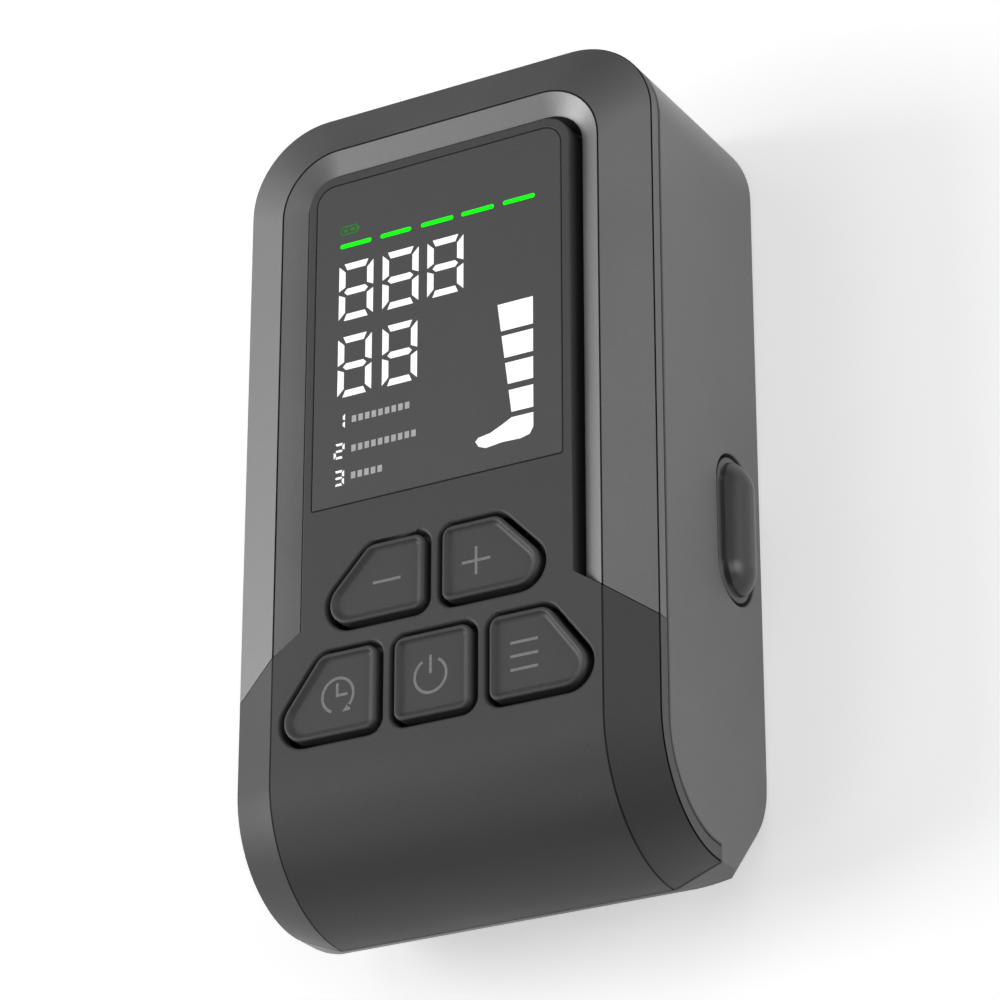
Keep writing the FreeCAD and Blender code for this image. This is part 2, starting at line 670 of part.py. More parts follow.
def cradles():
    """Low ribs on the floor that keep the battery from sliding sideways and the motor from sliding along."""
    ribs = []
    top = WALL + CRADLE_HIGH
    x0 = BATTERY_WIDTH / 2 + CRADLE_PLAY
    y0 = PUMP_Y + MOTOR_WIDTH / 2 + CRADLE_PLAY
    for side in (-1, 1):
        near, far = sorted((side * x0, side * (x0 + CRADLE_THICK)))
        ribs.append(plate(near, far, BATTERY_FOOT_Y, BATTERY_TOP_Y, WALL / 2, top))
    ribs.append(plate(MOTOR_X, MOTOR_X + MOTOR_LENGTH, y0, y0 + CRADLE_THICK, WALL / 2, top))
    return ribs


def rear_case():
    """Deep rear shell with the dock recess, button openings, charging slot, vents, posts and standoffs."""
    outer = casing_form(0).common(below_seam(0))
    outer = outer.makeChamfer(BACK_EDGE, edges_at(outer, 0))
    shadow = casing_form(-WALL).cut(casing_form(SHADOW_LINE_DEEP)).cut(below_seam(SHADOW_LINE_HIGH))
    shell = outer.cut(casing_form(WALL)).cut(shadow.common(below_seam(0)))
    inside = casing_form(WALL / 2)
    added = [recess_block(WALL, WALL / 2, RECESS_ROOF_Z)] + cradles()
    for rail in latch_rails():
        added += [rail, mirrored(rail)]
    for x, y in case_screw_places():
        added.append(upright(POST_RADIUS, x, y, 0, POST_SPLIT_Z).common(inside))
    for x, y in standoff_places():
        added.append(centred(STANDOFF_WIDTH, STANDOFF_WIDTH, x, y, WALL / 2, MAIN_BOARD_BACK_Z))
    shell = fused([shell] + added)
    cutters = [recess_block(0, -WALL, RECESS_DEEP), hook_slot(), mirrored(hook_slot())]
    through = button_slot(0, HALF_WIDTH - 2 * WALL, HALF_WIDTH + WALL)
    cutters += [through, mirrored(through)] + snap_hooks(SNAP_PLAY)
    cutters.append(socket_slot(SOCKET_SLOT_PLAY, HALF_LENGTH - 2 * WALL, HALF_LENGTH + WALL))
    cutters += vents()
    for x, y in case_screw_places():
        cutters.append(upright(SCREW_RADIUS + SCREW_PLAY, x, y, -WALL, POST_SPLIT_Z + WALL))
        cutters.append(upright(SCREW_HEAD_RADIUS + SCREW_SINK_PLAY, x, y, -WALL, SCREW_SINK))
    cutters.append(outlet_pad(OUTLET_PAD_PLAY, 0, RECESS_ROOF_Z + WALL))
    return shell.cut(cutters)


def display_window():
    return prism(window_wire(-WINDOW_FIT, FACE_Z - WINDOW_THICK), WINDOW_THICK)


# ---- release buttons, latches and springs, right-hand side ---------------------------------------------
def button_crown():
    """The proud pill: an arc across, rolled off at both ends."""
    crest_x = HALF_WIDTH + BUTTON_PROUD
    axis_x = crest_x - BUTTON_DOME_RADIUS
    half = BUTTON_DOME_LONG / 2
    low = BUTTON_Z - BUTTON_DOME_RADIUS
    across = Part.makeCylinder(
        BUTTON_DOME_RADIUS, BUTTON_DOME_LONG, vec(axis_x, BUTTON_Y - half, BUTTON_Z), vec(0, 1, 0)
    )
    corners = [
        vec(BUTTON_INNER_X, BUTTON_Y - half, low),
        vec(crest_x, BUTTON_Y - half, low),
        vec(crest_x, BUTTON_Y + half, low),
        vec(BUTTON_INNER_X, BUTTON_Y + half, low),
    ]
    radius = BUTTON_DOME_END_RADIUS
    along = prism(rounded(corners, [0, radius, radius, 0]), 2 * BUTTON_DOME_RADIUS)
    return across.common(along)


def release_button():
    """Crowned pill in a shallow rim, with a keeper plate inside the wall and a socket for the slide."""
    pill = button_slot(-BUTTON_GAP, BUTTON_INNER_X, HALF_WIDTH - BUTTON_RIM_SUNK)
    step = BUTTON_GAP + BUTTON_RIM_WIDE
    long = BUTTON_OPENING_LONG / 2 + BUTTON_KEEPER
    high = BUTTON_OPENING_WIDE / 2 - BUTTON_GAP
    x1 = BUTTON_INNER_X + BUTTON_KEEPER_THICK
    keeper = plate(BUTTON_INNER_X, x1, BUTTON_Y - long, BUTTON_Y + long, BUTTON_Z - high, BUTTON_Z + high)
    crown = button_crown().common(button_slot(-step, BUTTON_INNER_X, HALF_WIDTH + BUTTON_PROUD))
    return fused([pill, crown, keeper]).cut(latch_tenon(LATCH_PLAY / 2))


def latch_tenon(grow):
    """The tongue that joins the slide to its button."""
    half = LATCH_TENON_WIDE / 2 + grow
    middle_z = LATCH_BOTTOM_Z + LATCH_THICK / 2
    high = LATCH_TENON_THICK / 2 + grow
    x0 = BUTTON_INNER_X - LATCH_TENON_LONG
    x1 = BUTTON_INNER_X + LATCH_TENON_LONG + grow
    return plate(x0, x1, BUTTON_Y - half, BUTTON_Y + half, middle_z - high, middle_z + high)


def latch_slide():
    """Flat slide over the recess roof, with a barbed hook that hangs into the recess."""
    leg = LATCH_LEG_X
    outer = leg + LATCH_LEG_THICK
    top = LATCH_BOTTOM_Z + LATCH_THICK
    low = HOOK_SHORT_OF_BACK
    y0 = BUTTON_Y - LATCH_WIDTH / 2
    profile = [
        vec(leg, y0, low),
        vec(outer, y0, low),
        vec(outer + LATCH_BARB_LONG, y0, low + LATCH_BARB_HIGH),
        vec(outer, y0, low + LATCH_BARB_HIGH),
        vec(outer, y0, LATCH_BOTTOM_Z),
        vec(BUTTON_INNER_X, y0, LATCH_BOTTOM_Z),
        vec(BUTTON_INNER_X, y0, top),
        vec(leg, y0, top),
    ]
    body = Part.Face(Part.makePolygon(profile + profile[:1])).extrude(vec(0, LATCH_WIDTH, 0))
    return fused([body, latch_tenon(0)])


def latch_spring():
    """A bowed steel strip between the recess wall and the button, resting on two flat feet."""
    reach = SPRING_LONG / 2
    crest_x = BUTTON_INNER_X - SPRING_THICK
    foot = vec(RECESS_WALL_X, BUTTON_Y - reach + SPRING_FOOT, SPRING_Z - SPRING_WIDTH / 2)
    head = vec(RECESS_WALL_X, BUTTON_Y + reach - SPRING_FOOT, foot.z)
    bow = Part.Arc(foot, vec(crest_x, BUTTON_Y, foot.z), head).toShape()
    lower = Part.makeLine(foot - vec(0, SPRING_FOOT, 0), foot)
    upper = Part.makeLine(head, head + vec(0, SPRING_FOOT, 0))
    strip = Part.Wire([lower, bow, upper]).extrude(vec(0, 0, SPRING_WIDTH))
    outward = vec(SPRING_THICK, 0, 0)
    return fused([face.extrude(outward) for face in strip.Faces])


# ---- boards and what they carry ------------------------------------------------------------------------
def post_notches(z0, z1):
    radius = POST_RADIUS + BOARD_NOTCH_PLAY
    return [upright(radius, x, y, z0, z1) for x, y in case_screw_places()]


def board(half_width, foot, top, radius, z0):
    """A circuit board, notched round the case-screw posts that place it."""
    blank = plate(-half_width, half_width, foot, top, z0, z0 + BOARD_THICK, radius)
    return blank.cut(post_notches(z0, z0 + BOARD_THICK))


def display_board():
    half_width = HALF_WIDTH - UPPER_BOARD_FROM_SIDE
    foot = -HALF_LENGTH + UPPER_BOARD_FROM_END
    top = HALF_LENGTH - UPPER_BOARD_FROM_TOP
    return board(half_width, foot, top, UPPER_BOARD_CORNER_RADIUS, UPPER_BOARD_BACK_Z)


def main_board():
    half_width = HALF_WIDTH - MAIN_BOARD_FROM_SIDE
    foot = -HALF_LENGTH + MAIN_BOARD_FROM_END
    top = HALF_LENGTH - WALL - SOCKET_SLOT_PLAY
    return board(half_width, foot, top, MAIN_BOARD_CORNER_RADIUS, MAIN_BOARD_BACK_Z)


def display_module():
    """The display block that fills the window's opening from behind."""
    half = WINDOW_HALF_WIDTH - WINDOW_LEDGE
    foot = WINDOW_FOOT_Y + WINDOW_LEDGE
    top = WINDOW_TOP_Y - WINDOW_LEDGE
    z1 = UPPER_BOARD_FRONT_Z + DISPLAY_THICK
    return plate(-half, half, foot, top, UPPER_BOARD_FRONT_Z, z1)


def board_header():
    return centred(HEADER_WIDTH, HEADER_DEEP, 0, UPPER_KEYS_TOP, MAIN_BOARD_FRONT_Z, UPPER_BOARD_BACK_Z)


def usb_socket():
    """Steel shell with its tongue, flush with the upper end wall's inside."""
    y1 = HALF_LENGTH - WALL / 2
    y0 = y1 - SOCKET_LENGTH
    shell = socket_slot(0, y0, y1).cut(socket_slot(-SOCKET_SHELL, y0 + SOCKET_SHELL, y1))
    half = SOCKET_TONGUE_WIDTH / 2
    thick = SOCKET_TONGUE_THICK / 2
    tongue = plate(-half, half, y0, y1 - SOCKET_SHELL * 2, SOCKET_Z - thick, SOCKET_Z + thick)
    return fused([shell, tongue])


def buzzer():
    y = (BATTERY_FOOT_Y + BATTERY_TOP_Y) / 2
    z0 = MAIN_BOARD_BACK_Z - BUZZER_HIGH
    return centred(BUZZER_WIDTH, BUZZER_WIDTH, BUZZER_X, y, z0, MAIN_BOARD_BACK_Z)


def battery_pack():
    half = BATTERY_WIDTH / 2
    top = MAIN_BOARD_BACK_Z - BATTERY_BEHIND_BOARD
    return plate(-half, half, BATTERY_FOOT_Y, BATTERY_TOP_Y, WALL, top, BATTERY_CORNER_RADIUS)


# ---- the air side --------------------------------------------------------------------------------------
def pump_motor():
    """A motor can with flat front and back, lying across the lower end."""
    y0 = PUMP_Y - MOTOR_WIDTH / 2
    y1 = PUMP_Y + MOTOR_WIDTH / 2
    z1 = WALL + MOTOR_HIGH
    points = [vec(MOTOR_X, y0, WALL), vec(MOTOR_X, y1, WALL), vec(MOTOR_X, y1, z1), vec(MOTOR_X, y0, z1)]
    return Part.Face(rounded(points, [MOTOR_HIGH * 0.4] * 4)).extrude(vec(MOTOR_LENGTH, 0, 0))


def barb(x, y0, direction):
    """A hose barb along Y."""
    start = vec(x, y0, TUBE_Z)
    along = vec(0, direction, 0)
    return Part.makeCylinder(BARB_RADIUS, BARB_LONG, start, along)


def pump_head():
    x0 = PUMP_HEAD_X
    y0 = PUMP_Y - PUMP_HEAD_WIDTH / 2
    y1 = PUMP_Y + PUMP_HEAD_WIDTH / 2
    z0 = WALL + PUMP_HEAD_LIFT
    block = plate(x0, x0 + PUMP_HEAD_LENGTH, y0, y1, z0, z0 + PUMP_HEAD_HIGH)
    return fused([block, barb(TUBE_X, y1, 1)])


def air_tube():
    y0 = PUMP_Y + PUMP_HEAD_WIDTH / 2
    length = MANIFOLD_FOOT_Y - y0
    start = vec(TUBE_X, y0, TUBE_Z)
    outside = Part.makeCylinder(TUBE_RADIUS, length, start, vec(0, 1, 0))
    return outside.cut(Part.makeCylinder(TUBE_BORE_RADIUS, length, start, vec(0, 1, 0)))


def manifold_blank(z0, z1):
    """A plate over the recess roof, notched on both sides for the latch slides and their rails."""
    half = outlet_places()[-1][0] + OUTLET_PAD_MARGIN + MANIFOLD_SIDE_MARGIN
    blank = plate(-half, half, MANIFOLD_FOOT_Y, MANIFOLD_TOP_Y, z0, z1)
    x0 = LATCH_LEG_X - LATCH_TRAVEL - BUTTON_PLAY
    wide = LATCH_WIDTH / 2 + LATCH_PLAY + RAIL_THICK + BUTTON_PLAY
    notch = plate(x0, HALF_WIDTH, BUTTON_Y - wide, BUTTON_Y + wide, z0, z1)
    return blank.cut([notch, mirrored(notch)])


def outlet_manifold():
    """A flat block, with a pad through the recess roof that its outlet nozzles hang from."""
    block = manifold_blank(MANIFOLD_Z, MANIFOLD_Z + MANIFOLD_THICK)
    pieces = [block, outlet_pad(0, RECESS_DEEP, MANIFOLD_Z), barb(TUBE_X, MANIFOLD_FOOT_Y, -1)]
    bores = []
    for x, y in outlet_places():
        pieces.append(upright(OUTLET_RADIUS, x, y, OUTLET_SHORT_OF_BACK, RECESS_DEEP))
        bores.append(upright(OUTLET_BORE_RADIUS, x, y, 0, MANIFOLD_Z + MANIFOLD_THICK / 2))
    return fused(pieces).cut(bores)


def manifold_gasket():
    """A flat seal under the manifold, open round the nozzles' pad."""
    return manifold_blank(RECESS_ROOF_Z, MANIFOLD_Z).cut(outlet_pad(OUTLET_PAD_PLAY, RECESS_ROOF_Z, MANIFOLD_Z))


def valve(x):
    """A small solenoid valve between the manifold and the board: base and square coil frame."""
    y = MANIFOLD_FOOT_Y + VALVE_LENGTH / 2
    z0 = MANIFOLD_Z + MANIFOLD_THICK
    base = centred(VALVE_WIDTH, VALVE_LENGTH, x, y, z0, z0 + VALVE_BASE_HIGH)
    return fused([base, centred(VALVE_COIL_WIDTH, VALVE_COIL_LENGTH, x, y, z0, MAIN_BOARD_BACK_Z)])


# ---- fasteners -----------------------------------------------------------------------------------------
def case_screws():
    """Two screws from the back, through the rear posts into the front ones."""
    end = POST_SPLIT_Z + SCREW_BITE - SCREW_PLAY
    screws = []
    for x, y in case_screw_places():
        shank = upright(SCREW_RADIUS, x, y, SCREW_SINK, end)
        head = upright(SCREW_HEAD_RADIUS, x, y, SCREW_SINK - SCREW_HEAD_HIGH, SCREW_SINK)
        screws.append(fused([head, shank]))
    return Part.makeCompound(screws)


# ---- export --------------------------------------------------------------------------------------------
def export(name, shape):
    shape.exportStep(os.path.join("parts", name + ".step"))


def export_casing():
    export("rear_case", rear_case())
    export("front_cover", front_cover())
    export("bezel_trim", bezel_trim())
    export("display_window", display_window())


def export_keys():
    for name in key_outlines(0):
        export("key_" + name, key_cap(name))
        export("switch_stem_" + name, switch_stem(name))
    export("tact_switches", tact_switches())


def export_latches():
    for name, piece in (
        ("release_button", release_button()),
        ("latch_slide", latch_slide()),
        ("latch_spring", latch_spring()),
    ):
        export(name + "_right", piece)
        export(name + "_left", mirrored(piece))


def export_boards():
    export("display_board", display_board())
    export("main_board", main_board())
    export("display_module", display_module())
    export("board_header", board_header())
    export("usb_socket", usb_socket())
    export("buzzer", buzzer())
    export("battery_pack", battery_pack())


def export_air_side():
    export("pump_motor", pump_motor())
    export("pump_head", pump_head())
    export("air_tube", air_tube())
    export("outlet_manifold", outlet_manifold())
    export("manifold_gasket", manifold_gasket())
    for number, (x, _) in enumerate(outlet_places(), 1):
        export("valve_%d" % number, valve(x))


export_casing()
export_keys()
export_latches()
export_boards()
export_air_side()
export("case_screws", case_screws())
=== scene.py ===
import bpy, bmesh, math
from mathutils import Matrix, Vector
from mathutils.bvhtree import BVHTree
from mathutils.kdtree import KDTree


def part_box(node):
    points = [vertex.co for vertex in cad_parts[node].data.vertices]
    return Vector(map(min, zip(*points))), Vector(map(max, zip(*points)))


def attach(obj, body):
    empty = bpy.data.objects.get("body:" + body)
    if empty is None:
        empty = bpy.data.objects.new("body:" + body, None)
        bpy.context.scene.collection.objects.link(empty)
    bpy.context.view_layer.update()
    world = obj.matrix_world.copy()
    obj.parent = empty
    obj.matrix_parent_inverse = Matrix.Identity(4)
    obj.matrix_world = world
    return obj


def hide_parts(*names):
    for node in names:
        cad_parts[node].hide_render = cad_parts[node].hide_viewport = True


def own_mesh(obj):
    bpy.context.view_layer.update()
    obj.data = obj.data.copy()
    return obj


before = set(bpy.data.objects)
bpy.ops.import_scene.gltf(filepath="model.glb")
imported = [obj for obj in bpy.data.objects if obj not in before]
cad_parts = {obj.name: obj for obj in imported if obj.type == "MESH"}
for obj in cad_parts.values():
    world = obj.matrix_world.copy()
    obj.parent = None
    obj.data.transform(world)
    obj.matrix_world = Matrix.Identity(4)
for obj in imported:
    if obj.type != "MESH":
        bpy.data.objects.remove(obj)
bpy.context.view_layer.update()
mm = 0.001

# ---- Table ---------------------------------------------------------------------------------------------
# A plain pale table under the pump's flat back. Its rim turns up far away, so that no edge of it shows.
# The camera and the reflections see a glow on it that lights nothing else, so that it looks white.
TABLE_RADIUS = 3.0
TABLE_UPSTAND = 0.45
TABLE_BEND = 0.3
TABLE_PAINT = (0.82, 0.82, 0.82)
TABLE_GLOW = 0.5
TABLE_GAP = 0.02 * mm  # keeps the table's face from lying in the same plane as the pump's back


def blank_material(name):
    """A new material, with its nodes, its links and its surface shader."""
    material = bpy.data.materials.new(name)
    material.use_nodes = True
    tree = material.node_tree
    return material, tree.nodes, tree.links, tree.nodes["Principled BSDF"]


table_mesh = bpy.data.meshes.new("table")
shape = bmesh.new()
bmesh.ops.create_circle(shape, cap_ends=True, segments=96, radius=TABLE_RADIUS)
rim = shape.edges[:]
raised = bmesh.ops.extrude_edge_only(shape, edges=rim)["geom"]
rim_points = [part for part in raised if isinstance(part, bmesh.types.BMVert)]
bmesh.ops.translate(shape, verts=rim_points, vec=(0, 0, TABLE_UPSTAND))
bmesh.ops.bevel(shape, geom=rim, offset=TABLE_BEND, segments=8, profile=0.5, affect="EDGES", material=-1)
for face in shape.faces:
    face.smooth = True
bmesh.ops.recalc_face_normals(shape, faces=shape.faces)
bmesh.ops.translate(shape, verts=shape.verts, vec=(0, 0, -TABLE_GAP))
shape.to_mesh(table_mesh)
shape.free()
table = bpy.data.objects.new("table", table_mesh)
bpy.context.scene.collection.objects.link(table)

table_paint, nodes, links, paint = blank_material("table_paint")
paint.inputs["Base Color"].default_value = (*TABLE_PAINT, 1)
paint.inputs["Roughness"].default_value = 0.9
paint.inputs["Specular IOR Level"].default_value = 0.1
paint.inputs["Emission Color"].default_value = (1, 1, 1, 1)
ray = nodes.new("ShaderNodeLightPath")
reflected = nodes.new("ShaderNodeMath")
reflected.operation = "MAXIMUM"
seen = nodes.new("ShaderNodeMath")
seen.operation = "MAXIMUM"
glow = nodes.new("ShaderNodeMath")
glow.operation = "MULTIPLY"
glow.inputs[1].default_value = TABLE_GLOW
links.new(ray.outputs["Is Glossy Ray"], reflected.inputs[0])
links.new(ray.outputs["Is Transmission Ray"], reflected.inputs[1])
links.new(reflected.outputs["Value"], seen.inputs[0])
links.new(ray.outputs["Is Camera Ray"], seen.inputs[1])
links.new(seen.outputs["Value"], glow.inputs[0])
links.new(glow.outputs["Value"], paint.inputs["Emission Strength"])
table.data.materials.append(table_paint)

# ---- Lamps ---------------------------------------------------------------------------------------------
# Soft boxes at the pump's left, at its right and overhead, all aimed at its middle. A faint light from all
# round keeps the deepest gaps from going black.
LAMP_DISTANCE = 1.2
ROOM_LIGHT = 0.03

room = bpy.data.worlds.new("room")
bpy.context.scene.world = room
room.use_nodes = True
room.node_tree.nodes["Background"].inputs["Color"].default_value = (1, 1, 1, 1)
room.node_tree.nodes["Background"].inputs["Strength"].default_value = ROOM_LIGHT


def hang_lamp(name, azimuth, elevation, width, height, power):
    """A soft box. Azimuth 0 is the pump's right, and 90 its upper end, in degrees."""
    turn, rise = math.radians(azimuth), math.radians(elevation)
    towards = Vector((math.cos(rise) * math.cos(turn), math.cos(rise) * math.sin(turn), math.sin(rise)))
    data = bpy.data.lights.new(name, "AREA")
    data.shape = "RECTANGLE"
    data.size, data.size_y, data.energy = width, height, power
    lamp = bpy.data.objects.new(name, data)
    lamp.location = towards * LAMP_DISTANCE
    lamp.rotation_euler = towards.to_track_quat("Z", "Y").to_euler()
    lamp.visible_camera = False
    bpy.context.scene.collection.objects.link(lamp)


hang_lamp("left_low_box", 180, 12, 0.6, 0.6, 2.0)
hang_lamp("upper_left_low_box", 148, 12, 0.5, 0.4, 0.9)
hang_lamp("left_box", 180, 35, 0.6, 0.6, 6.8)
hang_lamp("right_low_box", 0, 12, 0.6, 0.6, 5.8)
hang_lamp("front_left_box", 236, 46, 0.45, 0.45, 1.1)
hang_lamp("back_right_box", 45, 35, 0.6, 0.6, 0.85)
hang_lamp("overhead_left_box", 144, 62, 0.6, 0.6, 1.6)
hang_lamp("overhead_back_box", 72, 62, 0.6, 0.6, 0.9)
hang_lamp("overhead_right_box", 0, 62, 0.6, 0.6, 0.85)

# ---- Camera --------------------------------------------------------------------------------------------
# A long lens about 0.6 m away. It looks down on the pump from its right and from below its face.
CAMERA_LENS = 151
CAMERA_PLACE = (0.2587, -0.2372, 0.4712)
CAMERA_BACK = (0.450, -0.415, 0.791)  # from the pump towards the camera

camera_data = bpy.data.cameras.new("camera")
camera_data.lens = CAMERA_LENS
camera_data.sensor_width = 36
camera_data.clip_start = 0.01
camera = bpy.data.objects.new("camera", camera_data)
bpy.context.scene.collection.objects.link(camera)
back = Vector(CAMERA_BACK).normalized()
right = Vector((0, 1, 0)).cross(back).normalized()
camera.matrix_world = Matrix((right, back.cross(right), back)).transposed().to_4x4()
camera.location = CAMERA_PLACE
bpy.context.scene.camera = camera
bpy.context.scene.view_settings.view_transform = "Standard"

# ---- Rear case -----------------------------------------------------------------------------------------
# The deep back shell, moulded in a satin plastic whose grey is painted lighter than the front cover's, as
# painted light on its side walls. It holds the pump, the battery and the dock's air outlets. Two screws
# from the back and two hooks at the upper end hold the front cover to it.
# painted light: this grey is lighter than the cover's only to stand in for the light on the side walls
LIT_CASE_GREY = (0.137, 0.137, 0.139)
CASE_EDGE = 0.25 * mm
MOULD_GRAIN = 0.22 * mm
GRAIN_DEEP = 0.02 * mm
MERGE_GAP = 0.002 * mm  # points nearer than this are one point
FLAT_ANGLE = 0.3  # faces that meet at less, in degrees, are one face
EDGE_ANGLE = 27  # flatter edges, in degrees, are the facets of a curve and stay smooth
SKIN_GAP = 0.02 * mm  # points nearer than this to the piece's hull are on its outside
SINK_HIGH_Z, SINK_INNER_X = 1 * mm, 22 * mm  # limits round the screws' sinks
SINK_LOW_Y, SINK_HIGH_Y = -45 * mm, -37 * mm
CORNER_HIGH_Y = -55 * mm  # limits round the slanted corners of the lower end
CORNER_LOW_Z, CORNER_HIGH_Z = 9.5 * mm, 14.7 * mm


def shaded(colour, share):
    """A colour made darker or lighter, but never lighter than white."""
    return [min(channel * share, 1) for channel in colour]


def tone_ramp(nodes, dark, light):
    """A ramp from a dark tone to a light one, over the middle of a noise's range."""
    ramp = nodes.new("ShaderNodeValToRGB")
    for element, position, colour in zip(ramp.color_ramp.elements, (0.3, 0.7), (dark, light)):
        element.position = position
        element.color = (*colour, 1)
    return ramp


def gloss_range(nodes, lowest, highest, roughness, spread):
    """Turns a noise between its lowest and highest value into a roughness that varies by a spread."""
    gloss = nodes.new("ShaderNodeMapRange")
    gloss.inputs["From Min"].default_value = lowest
    gloss.inputs["From Max"].default_value = highest
    gloss.inputs["To Min"].default_value = roughness - spread
    gloss.inputs["To Max"].default_value = roughness + spread
    return gloss


def moulded_plastic(name, colour, roughness, grain, depth, spread=0.07, shine=0.5):
    """Plastic with the fine grain of an etched mould, and with slow changes in its gloss."""
    material, nodes, links, plastic = blank_material(name)
    place = nodes.new("ShaderNodeTexCoord")
    fine = nodes.new("ShaderNodeTexNoise")
    fine.inputs["Scale"].default_value = 1 / grain
    fine.inputs["Detail"].default_value = 3
    slow = nodes.new("ShaderNodeTexNoise")
    slow.inputs["Scale"].default_value = 45
    slow.inputs["Detail"].default_value = 2
    tone = tone_ramp(nodes, shaded(colour, 1 - spread), shaded(colour, 1 + spread))
    gloss = gloss_range(nodes, 0.35, 0.65, roughness, 0.04)
    bump = nodes.new("ShaderNodeBump")
    bump.inputs["Strength"].default_value = 0.6
    bump.inputs["Distance"].default_value = depth
    for noise in (fine, slow):
        links.new(place.outputs["Object"], noise.inputs["Vector"])
    links.new(fine.outputs["Fac"], tone.inputs["Fac"])
    links.new(tone.outputs["Color"], plastic.inputs["Base Color"])
    links.new(slow.outputs["Fac"], gloss.inputs["Value"])
    links.new(gloss.outputs["Result"], plastic.inputs["Roughness"])
    links.new(fine.outputs["Fac"], bump.inputs["Height"])
    links.new(bump.outputs["Normal"], plastic.inputs["Normal"])
    plastic.inputs["Specular IOR Level"].default_value = shine
    return material


def link_piece(name, data, body, slot, *nodes):
    """Adds a finished mesh to the scene, rides it on a body and puts it in the place of its CAD nodes."""
    piece = bpy.data.objects.new(name, data)
    bpy.context.scene.collection.objects.link(piece)
    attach(piece, body)
    if nodes:
        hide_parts(*nodes)
    return piece


def soft_edged(node, material, slot, widest, edge_width=None, reshape=None):
    """A copy of a moulded piece whose outer edges are rounded, as a mould leaves them.
    edge_width says from an edge's two ends how wide it is, where not all are as wide as the widest.
    reshape may change the copy first, and gives back the points of the fine lines that it cuts."""
    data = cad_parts[node].data.copy()
    shape = bmesh.new()
    shape.from_mesh(data)
    bmesh.ops.remove_doubles(shape, verts=shape.verts, dist=MERGE_GAP)
    bmesh.ops.dissolve_limit(shape, angle_limit=math.radians(FLAT_ANGLE), verts=shape.verts,
                             edges=shape.edges)
    skin = bmesh.new()
    for vert in shape.verts:
        skin.verts.new(vert.co)
    bmesh.ops.convex_hull(skin, input=skin.verts)
    hull = BVHTree.FromBMesh(skin)
    skin.free()

    def on_outside(edge):
        return all(hull.find_nearest(vert.co)[3] < SKIN_GAP for vert in edge.verts)

    outer_edges = [edge for edge in shape.edges if on_outside(edge)]
    line_points = reshape(shape, outer_edges) if reshape else set()
    weight = shape.edges.layers.float.new("bevel_weight_edge")
    for edge in shape.edges:
        if len(edge.link_faces) != 2 or edge.calc_face_angle(0) < math.radians(EDGE_ANGLE):
            continue
        start, end = edge.verts
        if start not in line_points and end not in line_points and on_outside(edge):
            edge[weight] = edge_width(start.co, end.co) / widest if edge_width else 1
        edge.smooth = edge[weight] > 0
    for face in shape.faces:
        face.smooth = True
    data.materials.clear()
    data.materials.append(material)
    shape.to_mesh(data)
    shape.free()
    piece = link_piece(node + "_moulded", data, "casing", slot, node)
    rounding = piece.modifiers.new("mould_edge", "BEVEL")
    rounding.width = widest
    rounding.segments = 3
    rounding.limit_method = "WEIGHT"
    rounding.use_clamp_overlap = False
    piece.modifiers.new("flat_faces", "WEIGHTED_NORMAL").keep_sharp = True
    return piece


def case_edge_width(start, end):
    """Leaves the screws' sinks and the slanted corners of the lower end sharp."""
    low_y, high_y = sorted((start.y, end.y))
    low_z, high_z = sorted((start.z, end.z))
    far_out = min(abs(start.x), abs(end.x)) > SINK_INNER_X
    at_screw = far_out and SINK_LOW_Y < low_y < SINK_HIGH_Y and high_z < SINK_HIGH_Z
    at_corner = high_y < CORNER_HIGH_Y and CORNER_LOW_Z < low_z and high_z < CORNER_HIGH_Z
    return 0 if at_screw or at_corner else CASE_EDGE


case_plastic = moulded_plastic("case_plastic", LIT_CASE_GREY, 0.42, MOULD_GRAIN, GRAIN_DEEP)
soft_edged("rear_case", case_plastic, "case_plastic", CASE_EDGE, case_edge_width)

# ---- Front cover ---------------------------------------------------------------------------------------
# The raised face and the round chin, moulded in one dark grey piece that closes the rear case. The edges
# of its key openings are wide and soft. Fine lines are cut under its outer slopes and beside the chin, and
# a near-black paints the shade of a gap into them.
FACE_GREY = (0.08, 0.08, 0.081)
FACE_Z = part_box("front_cover")[1].z
LEVEL_GAP = 0.01 * mm  # heights that differ by less are the same
COVER_EDGE = 0.25 * mm
KEY_OPENING_EDGE = 0.45 * mm
KEYS_HALF_WIDTH, KEYS_LOW_Y = 28 * mm, -38 * mm
KEYS_HIGH_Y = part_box("key_plus")[1].y + 1.5 * mm
WINDOW_EDGE = 0.15 * mm
WINDOW_LOW, WINDOW_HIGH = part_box("display_window")
WINDOW_MARGIN = 0.3 * mm
# painted shade: the near-black in the scored lines stands in for the shade inside a gap
LINE_SHADE_BLACK = (0.022, 0.022, 0.022)
LINE_WIDTH = 0.3 * mm
LINE_MIDDLE = 0.3  # share of a line's width within which a point is at its bottom
RIM_ANGLES, RIM_LINE_DEPTH, RIM_LOW_Z = (60, 75), 0.3 * mm, 15.3 * mm
CHIN_ANGLES, CHIN_LINE_DEPTH, CHIN_HALF_WIDTH = (15, 24), 0.1 * mm, 25.5 * mm


def cover_edge_width(start, end):
    """The face's edges are wide round the key openings and fine round the window."""
    low_y, high_y = sorted((start.y, end.y))
    reach = max(abs(start.x), abs(end.x))
    if min(start.z, end.z) <= FACE_Z - LEVEL_GAP:
        return COVER_EDGE
    if KEYS_LOW_Y < low_y and high_y < KEYS_HIGH_Y and reach < KEYS_HALF_WIDTH:
        return KEY_OPENING_EDGE
    beside_window = WINDOW_LOW.y - WINDOW_MARGIN < low_y and high_y < WINDOW_HIGH.y + WINDOW_MARGIN
    return WINDOW_EDGE if beside_window and reach < WINDOW_HIGH.x + WINDOW_MARGIN else COVER_EDGE


